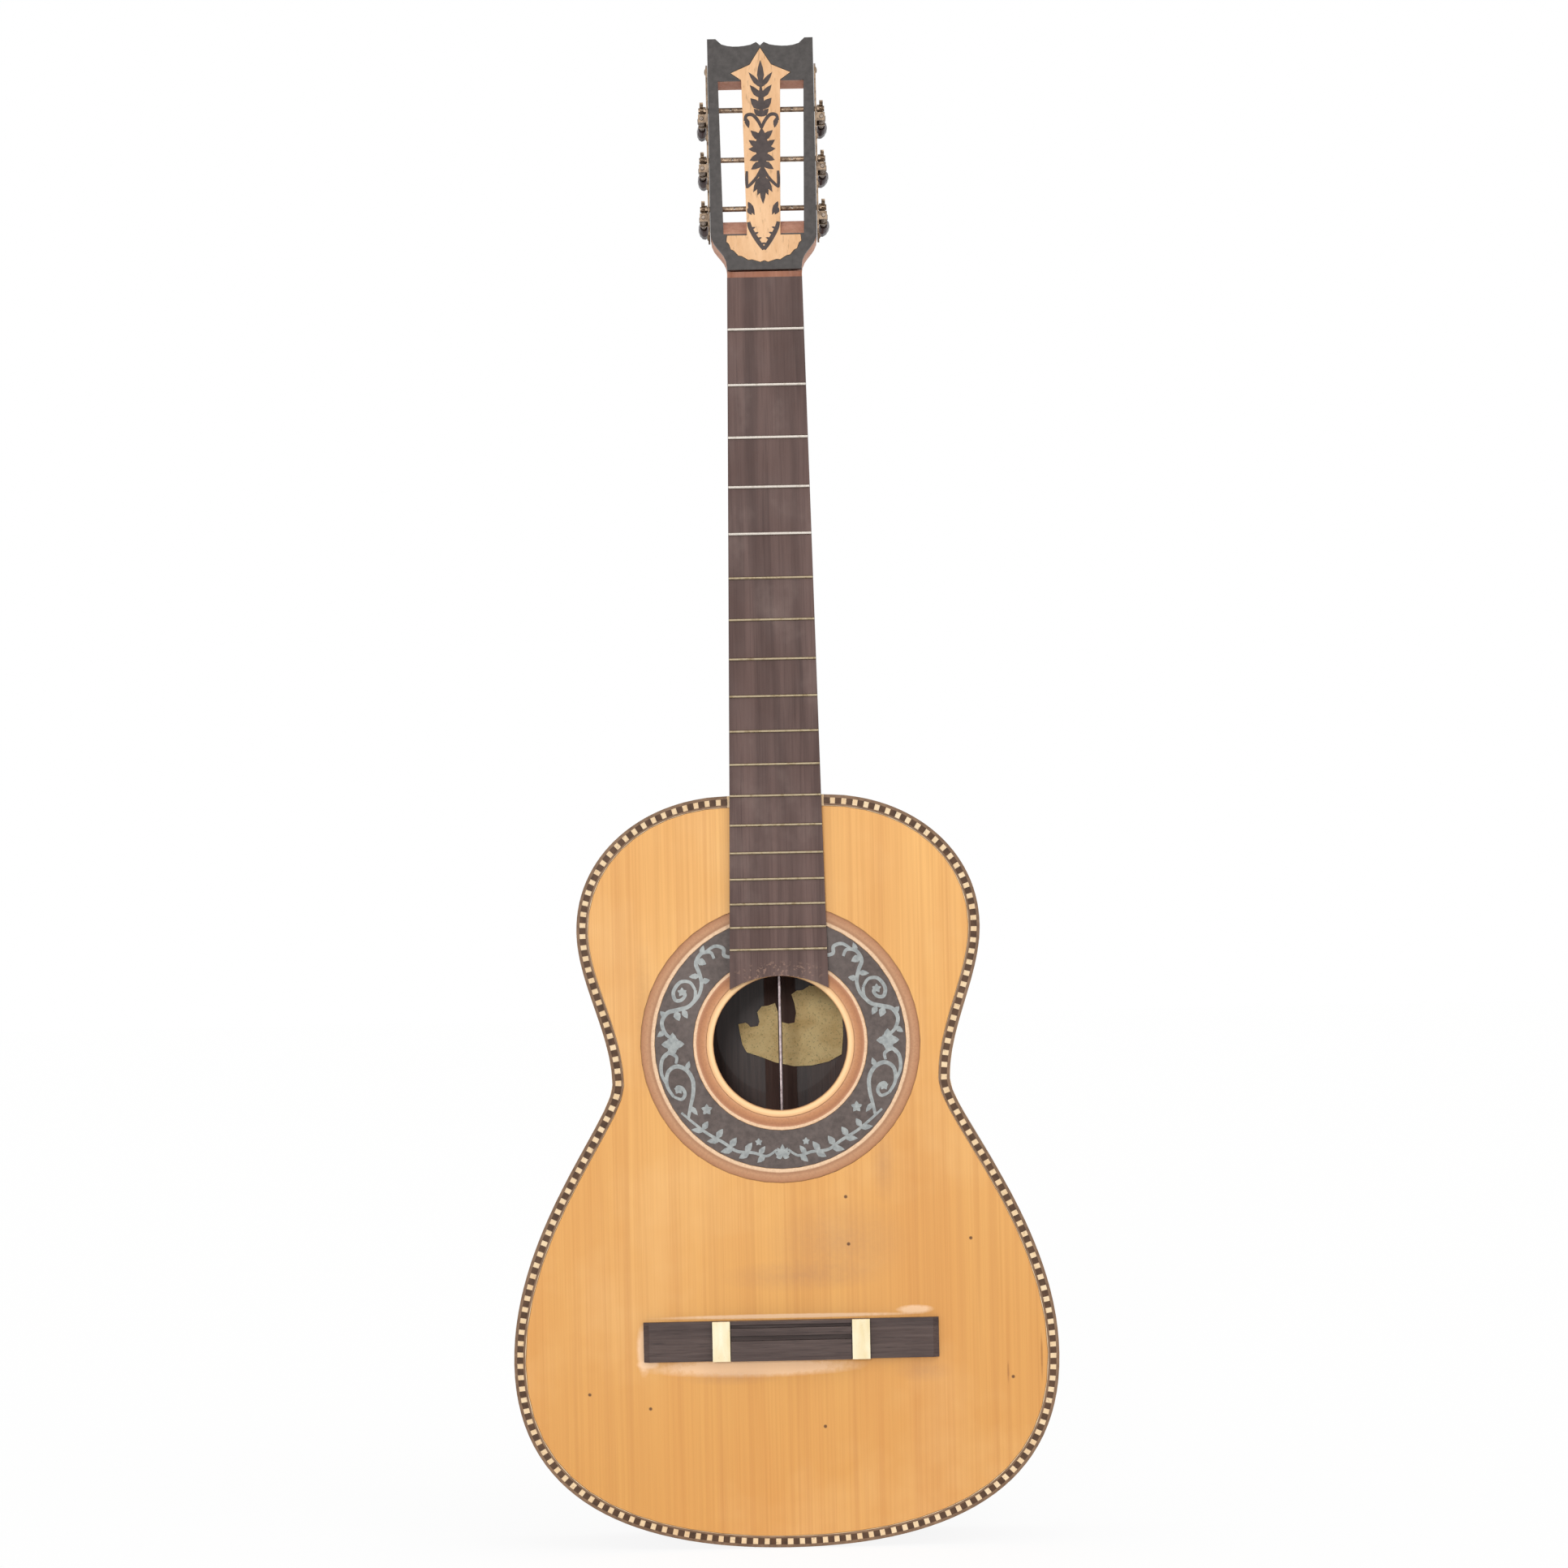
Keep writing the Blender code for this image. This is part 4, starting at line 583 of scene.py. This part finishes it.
# Each stem's width and the points it runs through
STEMS = (
    (1.5, ((3, 66), (8, 70.5), (15, 70), (23, 72.2), (31, 71), (40, 72), (48, 73), (56, 75))),
    (2.0, (
        (52, 73.5), (56, 68), (61, 62.5), (68, 59), (75, 60.5), (78.5, 66), (76.5, 72), (70.5, 75),
        (64.5, 74),
    )),
    (1.7, ((64.5, 74), (61.5, 70.5), (63, 67), (66.5, 67), (68, 69.5), (66, 71))),
    (1.8, ((71, 75), (77, 76), (83, 74), (86, 69.5), (83.5, 65), (80, 66))),
    (1.4, ((84, 72), (87, 69), (90, 66.6))),
    (2.0, (
        (93, 66.6), (96, 71.5), (101, 74.5), (106, 72.5), (109, 67), (112.5, 61.5), (118, 59.5), (123, 62),
    )),
    (1.8, (
        (123, 62), (125, 67.5), (122.5, 72.5), (117, 73.5), (113.5, 70.5), (114.5, 67), (118, 66),
        (119.5, 69),
    )),
    (1.9, (
        (113, 60.5), (121, 58.5), (128, 61), (132, 66.5), (134.5, 72), (139.5, 74), (143.5, 71),
        (143, 66.5),
    )),
    (1.8, ((142, 73), (147, 72.5), (150, 68.5), (148.5, 64.5), (151.5, 61.5), (155, 62.5))),
)

# Each leaf's base, tip and width, and each small flower's place and size
LEAVES = (
    ((9, 70), (12, 75.5), 2.6), ((12, 70.5), (9.5, 64.5), 2.4), ((17, 70.5), (21, 76), 2.8),
    ((19, 71), (17, 64), 2.8), ((25, 72), (30, 77), 2.8), ((27, 71.5), (26, 64.5), 3.0),
    ((33, 71), (38, 76), 2.6), ((35, 71), (35, 64), 2.8), ((42, 72), (47, 77), 2.4),
    ((43, 72), (44, 66), 2.6), ((56, 68), (50, 68), 2.2), ((75, 60.5), (80, 57.5), 2.2),
    ((97, 72), (94, 76.5), 2.4), ((104, 73), (106, 77), 2.4), ((108, 68), (103.5, 64), 3.2),
    ((110, 64), (106, 59.5), 2.6), ((129, 62), (133, 58.5), 2.6), ((136, 73), (138, 67), 3.2),
    ((139, 73.5), (143, 77), 2.2), ((131, 65), (127, 70), 2.4),
)
FLOWERS = ((49, 61.5, 3.6), (66.5, 69.3, 3.0), (118.5, 68.6, 3.0), (13.5, 62.8, 2.4))
SMALL_FLOWER_PETALS = 5

# A large flower at each side, with rings of petals, each a size and a count
SIDE_FLOWER = (90.5, 66.6)
SIDE_FLOWER_RINGS = ((7.2, 4), (4.6, 8))

# The flower at the foot of the ring: each petal's turn from upright, and its length
FOOT_FLOWER_RADIUS, FOOT_PETAL_WIDTH = 70, 3.4
FOOT_PETALS = ((0, 7.5), (32, 6.2), (-32, 6.2), (64, 5.4), (-64, 5.4), (100, 4.2), (-100, 4.2))

# How much wider than listed stems and leaves are drawn, a stem's least share of its width, and a petal's
# width as a share of its length
VINE_WEIGHT, LEAF_WEIGHT = 1.3, 1.5
STEM_ENDS, PETAL_ASPECT = 0.5, 0.75


def ring_point(angle, radius, side):
    """A point of the rosette in metres, across and up; side -1 mirrors it."""
    turn = math.radians(angle)
    return (side * radius * MM * math.sin(turn), HOLE_Z - radius * MM * math.cos(turn))


def petals(relief, angle, radius, size, side, count):
    """A ring of petals about a point of the rosette."""
    cx, cz = ring_point(angle, radius, side)
    for i in range(count):
        turn = math.tau * i / count
        tip = (cx + size * MM * math.sin(turn), cz + size * MM * math.cos(turn))
        relief.leaf((cx, cz), tip, size * MM * PETAL_ASPECT)


def rosette_vine(looks):
    """Pale scrollwork that climbs both sides of the dark ring from a flower at its foot."""
    vine = Relief("rosette_vine", looks["vine"], "rosette", FACE_Y)
    for side in (1, -1):
        for width, stem in STEMS:
            path = smooth_path([ring_point(a, r, side) for a, r in stem])
            vine.ribbon(path, tapered(path, width * VINE_WEIGHT * MM, STEM_ENDS))
        for base, tip, width in LEAVES:
            vine.leaf(ring_point(*base, side), ring_point(*tip, side), width * LEAF_WEIGHT * MM)
        for angle, radius, size in FLOWERS:
            petals(vine, angle, radius, size, side, SMALL_FLOWER_PETALS)
        for size, count in SIDE_FLOWER_RINGS:
            petals(vine, *SIDE_FLOWER, size, side, count)
    for spread, length in FOOT_PETALS:
        base = (0.0, HOLE_Z - FOOT_FLOWER_RADIUS * MM)
        turn = math.radians(spread)
        tip = (length * MM * math.sin(turn), base[1] + length * MM * math.cos(turn))
        vine.leaf(base, tip, FOOT_PETAL_WIDTH * MM)
    vine.done()


# Head ornament, in millimetres across the head and up from the nut

# Each leaf's base, tip and width, and then each stem's width and points
HEAD_LEAVES = (
    ((0, 120), (0, 136.5), 3.4), ((0, 118.5), (7.4, 128.6), 2.6), ((0, 111.5), (6.8, 120.2), 3.2),
    ((0, 104), (6.6, 111.6), 4.2), ((0, 99.5), (4.6, 104.6), 3.0), ((0, 99), (0, 122), 3.0),
    ((0, 84), (6.9, 90.5), 3.4), ((0, 78.5), (8.2, 84.2), 3.6), ((0, 78), (8.4, 78.4), 3.4),
    ((0, 74), (7.8, 71), 3.6), ((0, 70), (7.0, 65.0), 3.4), ((0, 92.5), (0, 63), 6.6),
    ((0, 66), (0, 52), 3.4), ((0, 61), (6.0, 50.2), 3.2), ((0, 57), (3.4, 48.2), 2.8),
    ((0, 56), (0, 42.6), 3.0), ((9.3, 44.2), (5.4, 35.4), 2.6), ((9.6, 40), (7.2, 35.6), 2.4),
    ((9.6, 99), (8.0, 92), 2.4),
)
HEAD_STEMS = (
    (1.7, ((0, 92), (2.0, 96.5), (5.4, 100.6), (9.2, 100.4), (10.2, 96.8))),
    (1.5, ((0.5, 66), (3.6, 60), (7.4, 55.6), (9.9, 53.4))),
    (1.5, ((9.7, 64), (9.9, 58), (9.6, 53))),
    (2.2, ((9.2, 31), (8.2, 27), (5.4, 21.5), (2.4, 16.6), (0, 13.2))),
)
HEAD_WEIGHT, HEAD_STEM_ENDS = 1.3, 0.6

# Small teeth inside the lowest pair of stems: the first one's place, the step to the next, and reach
TEETH, TOOTH_WIDTH = 4, 1.5
TOOTH_X, TOOTH_STEP_X, TOOTH_REACH_X = 8.0, 1.9, 3.0
TOOTH_Z, TOOTH_STEP_Z, TOOTH_RISE = 26.5, 3.4, 1.2


def head_matrix():
    """From the head's own frame, which starts at the nut and leans back, to the guitar's."""
    return Matrix.Translation((0, FACE_Y, NUT_Z)) @ Matrix.Rotation(-LEAN, 4, "X")


def head_ornament(looks):
    """Dark leafwork on the pale island between the slots."""
    leafwork = Relief("head_leafwork", looks["dark_inlay"], "ebony", VENEER_FRONT, head_matrix())
    for side in (1, -1):
        for base, tip, width in HEAD_LEAVES:
            # A leaf on the middle line is laid once
            if side == 1 or tip[0] != 0:
                ends = [(side * x * MM, z * MM) for x, z in (base, tip)]
                leafwork.leaf(*ends, width * HEAD_WEIGHT * MM)
        for width, stem in HEAD_STEMS:
            path = smooth_path([(side * x * MM, z * MM) for x, z in stem])
            leafwork.ribbon(path, tapered(path, width * HEAD_WEIGHT * MM, HEAD_STEM_ENDS))
        for i in range(TEETH):
            x, z = TOOTH_X - TOOTH_STEP_X * i, TOOTH_Z - TOOTH_STEP_Z * i
            base = (side * x * MM, z * MM)
            tip = (side * (x - TOOTH_REACH_X) * MM, (z + TOOTH_RISE) * MM)
            leafwork.leaf(base, tip, TOOTH_WIDTH * MM)
    leafwork.done()


# Plate screws: how far out each ring of a screw's head lies and its radius, and the screws' heights

SCREW_PROFILE = ((0.0, 0.0021), (0.0003, 0.0020), (0.0007, 0.0014), (0.00085, 0.0006), (0.0009, 0.0))
SCREW_HEIGHTS = (0.0245, 0.0575, 0.0895, 0.1325)
SCREW_SEGMENTS = 16
SCREW_WELD = 1e-6


def screw_head(bm, side, height):
    """One round head on the outer face of a tuner plate."""
    turns = [math.tau * i / SCREW_SEGMENTS for i in range(SCREW_SEGMENTS)]
    rings = []
    for out, radius in SCREW_PROFILE:
        x = side * (PLATE_FACE_X + out)
        places = [(x, PLATE_MIDDLE_Y + radius * math.sin(a), height + radius * math.cos(a)) for a in turns]
        rings.append([bm.verts.new(place) for place in places])
    bm.faces.new(rings[0])
    for near, far in zip(rings, rings[1:]):
        for i in range(SCREW_SEGMENTS):
            j = (i + 1) % SCREW_SEGMENTS
            bm.faces.new((near[i], near[j], far[j], far[i]))


def plate_screws(looks):
    """Round-head screws that hold the tuner plates."""
    bm = bmesh.new()
    for side in (1, -1):
        for height in SCREW_HEIGHTS:
            screw_head(bm, side, height)
    bmesh.ops.remove_doubles(bm, verts=bm.verts, dist=SCREW_WELD)
    bmesh.ops.recalc_face_normals(bm, faces=bm.faces)
    mesh = bpy.data.meshes.new("plate_screws")
    bm.to_mesh(mesh)
    bm.free()
    mesh.transform(head_matrix())
    mesh.shade_smooth()
    mesh.materials.append(looks["brass"])
    made = bpy.data.objects.new("plate_screws", mesh)
    bpy.context.scene.collection.objects.link(made)
    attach(made, GUITAR)


# What is left of the label, in millimetres: along its torn upper edge from the bass side, then back

LABEL_EDGE = (
    (-26.6, 321), (-22, 321.9), (-20.4, 320.9), (-19, 319), (-14.2, 319.6), (-13.1, 322.4), (-14.4, 328.4),
    (-11.5, 332), (-7.4, 332.4), (-3, 334), (-1.6, 329), (0.2, 325.4), (1.4, 321.6), (5.2, 320.7),
    (9.1, 321.3), (10.2, 327.4), (9.4, 333), (7.5, 339.2), (11, 341.7), (14.7, 341.9), (19.2, 344.6),
    (23.5, 344.2), (31.2, 340), (36, 334.6), (39.6, 326), (39.8, 312), (38.6, 300.6), (30.3, 296.2),
    (19.4, 293.9), (8.6, 293.6), (-3.7, 296.3), (-12.1, 299.8), (-21.6, 303.1), (-24.3, 308.2),
    (-25.6, 315),
)


def torn_label(looks):
    """The torn paper, in the place of the whole label."""
    low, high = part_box("label")
    paper = Relief("label_paper", looks["paper"], "paper", high.y)
    paper.shape([(x * MM, z * MM) for x, z in LABEL_EDGE], high.y - low.y)
    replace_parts(paper.done(), "label")


# Studio


def studio():
    """The camera, the lights, the white world and the floor."""
    scene = bpy.context.scene
    scene.view_settings.view_transform = "Standard"
    camera = bpy.data.cameras.new("camera")
    camera.sensor_width = SENSOR
    camera.lens = SENSOR * CAMERA_DISTANCE / PICTURE_WIDTH
    holder = bpy.data.objects.new("camera", camera)
    holder.location = (CAMERA_X, FACE_Y - CAMERA_DISTANCE, CAMERA_Z)
    holder.rotation_euler = (math.radians(90), CAMERA_ROLL, 0)
    scene.collection.objects.link(holder)
    scene.camera = holder
    for light in LIGHTS:
        sun_light(*light)
    white_world(scene)
    pale_floor()


def sun_light(name, strength, tilt, turn, softness):
    """A sun lamp, with its angles in degrees."""
    data = bpy.data.lights.new(name, "SUN")
    data.energy = strength
    data.angle = math.radians(softness)
    lamp = bpy.data.objects.new(name, data)
    lamp.rotation_euler = (math.radians(tilt), 0, math.radians(turn))
    bpy.context.scene.collection.objects.link(lamp)


def seen_directly(tree):
    """1 for rays from the camera, and for reflected and refracted ones."""
    path = tree.nodes.new("ShaderNodeLightPath")
    total = path.outputs["Is Camera Ray"]
    for name in ("Is Glossy Ray", "Is Transmission Ray"):
        add = tree.nodes.new("ShaderNodeMath")
        add.operation = "MAXIMUM"
        tree.links.new(total, add.inputs[0])
        tree.links.new(path.outputs[name], add.inputs[1])
        total = add.outputs[0]
    return total


def white_world(scene):
    """White where the camera sees it, and a little dimmer as light."""
    world = bpy.data.worlds.new("white_world")
    world.use_nodes = True
    tree = world.node_tree
    background = tree.nodes["Background"]
    background.inputs["Color"].default_value = (WHITE, WHITE, WHITE, 1)
    level = tree.nodes.new("ShaderNodeMapRange")
    level.inputs["To Min"].default_value = ROOM_LIGHT
    level.inputs["To Max"].default_value = WHITE
    tree.links.new(seen_directly(tree), level.inputs["Value"])
    tree.links.new(level.outputs["Result"], background.inputs["Strength"])
    scene.world = world


def pale_floor():
    """A floor that reads as white and keeps the guitar's shadow."""
    mesh = bpy.data.meshes.new("floor")
    corners = [(x * FLOOR_REACH, y * FLOOR_REACH, 0) for x, y in ((-1, -1), (1, -1), (1, 1), (-1, 1))]
    mesh.from_pydata(corners, [], [(0, 1, 2, 3)])
    floor = bpy.data.objects.new("floor", mesh)
    floor.location = (0, 0, -FLOOR_DROP)
    bpy.context.scene.collection.objects.link(floor)
    mesh.materials.append(floor_material())


def floor_material():
    """A pale ground that glows of itself where the camera looks at it."""
    material = bpy.data.materials.new("pale_floor")
    material.use_nodes = True
    tree = material.node_tree
    shader = tree.nodes["Principled BSDF"]
    shader.inputs["Base Color"].default_value = FLOOR_TONE
    shader.inputs["Roughness"].default_value = FLOOR_ROUGHNESS
    glow = tree.nodes.new("ShaderNodeEmission")
    glow.inputs["Strength"].default_value = FLOOR_GLOW
    share = tree.nodes.new("ShaderNodeMath")
    share.operation = "MULTIPLY"
    share.inputs[1].default_value = FLOOR_GLOW_SHARE
    blend = tree.nodes.new("ShaderNodeMixShader")
    tree.links.new(seen_directly(tree), share.inputs[0])
    tree.links.new(share.outputs[0], blend.inputs[0])
    tree.links.new(shader.outputs[0], blend.inputs[1])
    tree.links.new(glow.outputs[0], blend.inputs[2])
    tree.links.new(blend.outputs[0], tree.nodes["Material Output"].inputs["Surface"])
    return material


def main():
    """Builds the studio, the looks and the added pieces."""
    studio()
    looks = build_looks()
    dress_nodes(looks)
    edge_band(looks)
    rosette_vine(looks)
    head_ornament(looks)
    plate_screws(looks)
    torn_label(looks)


main()
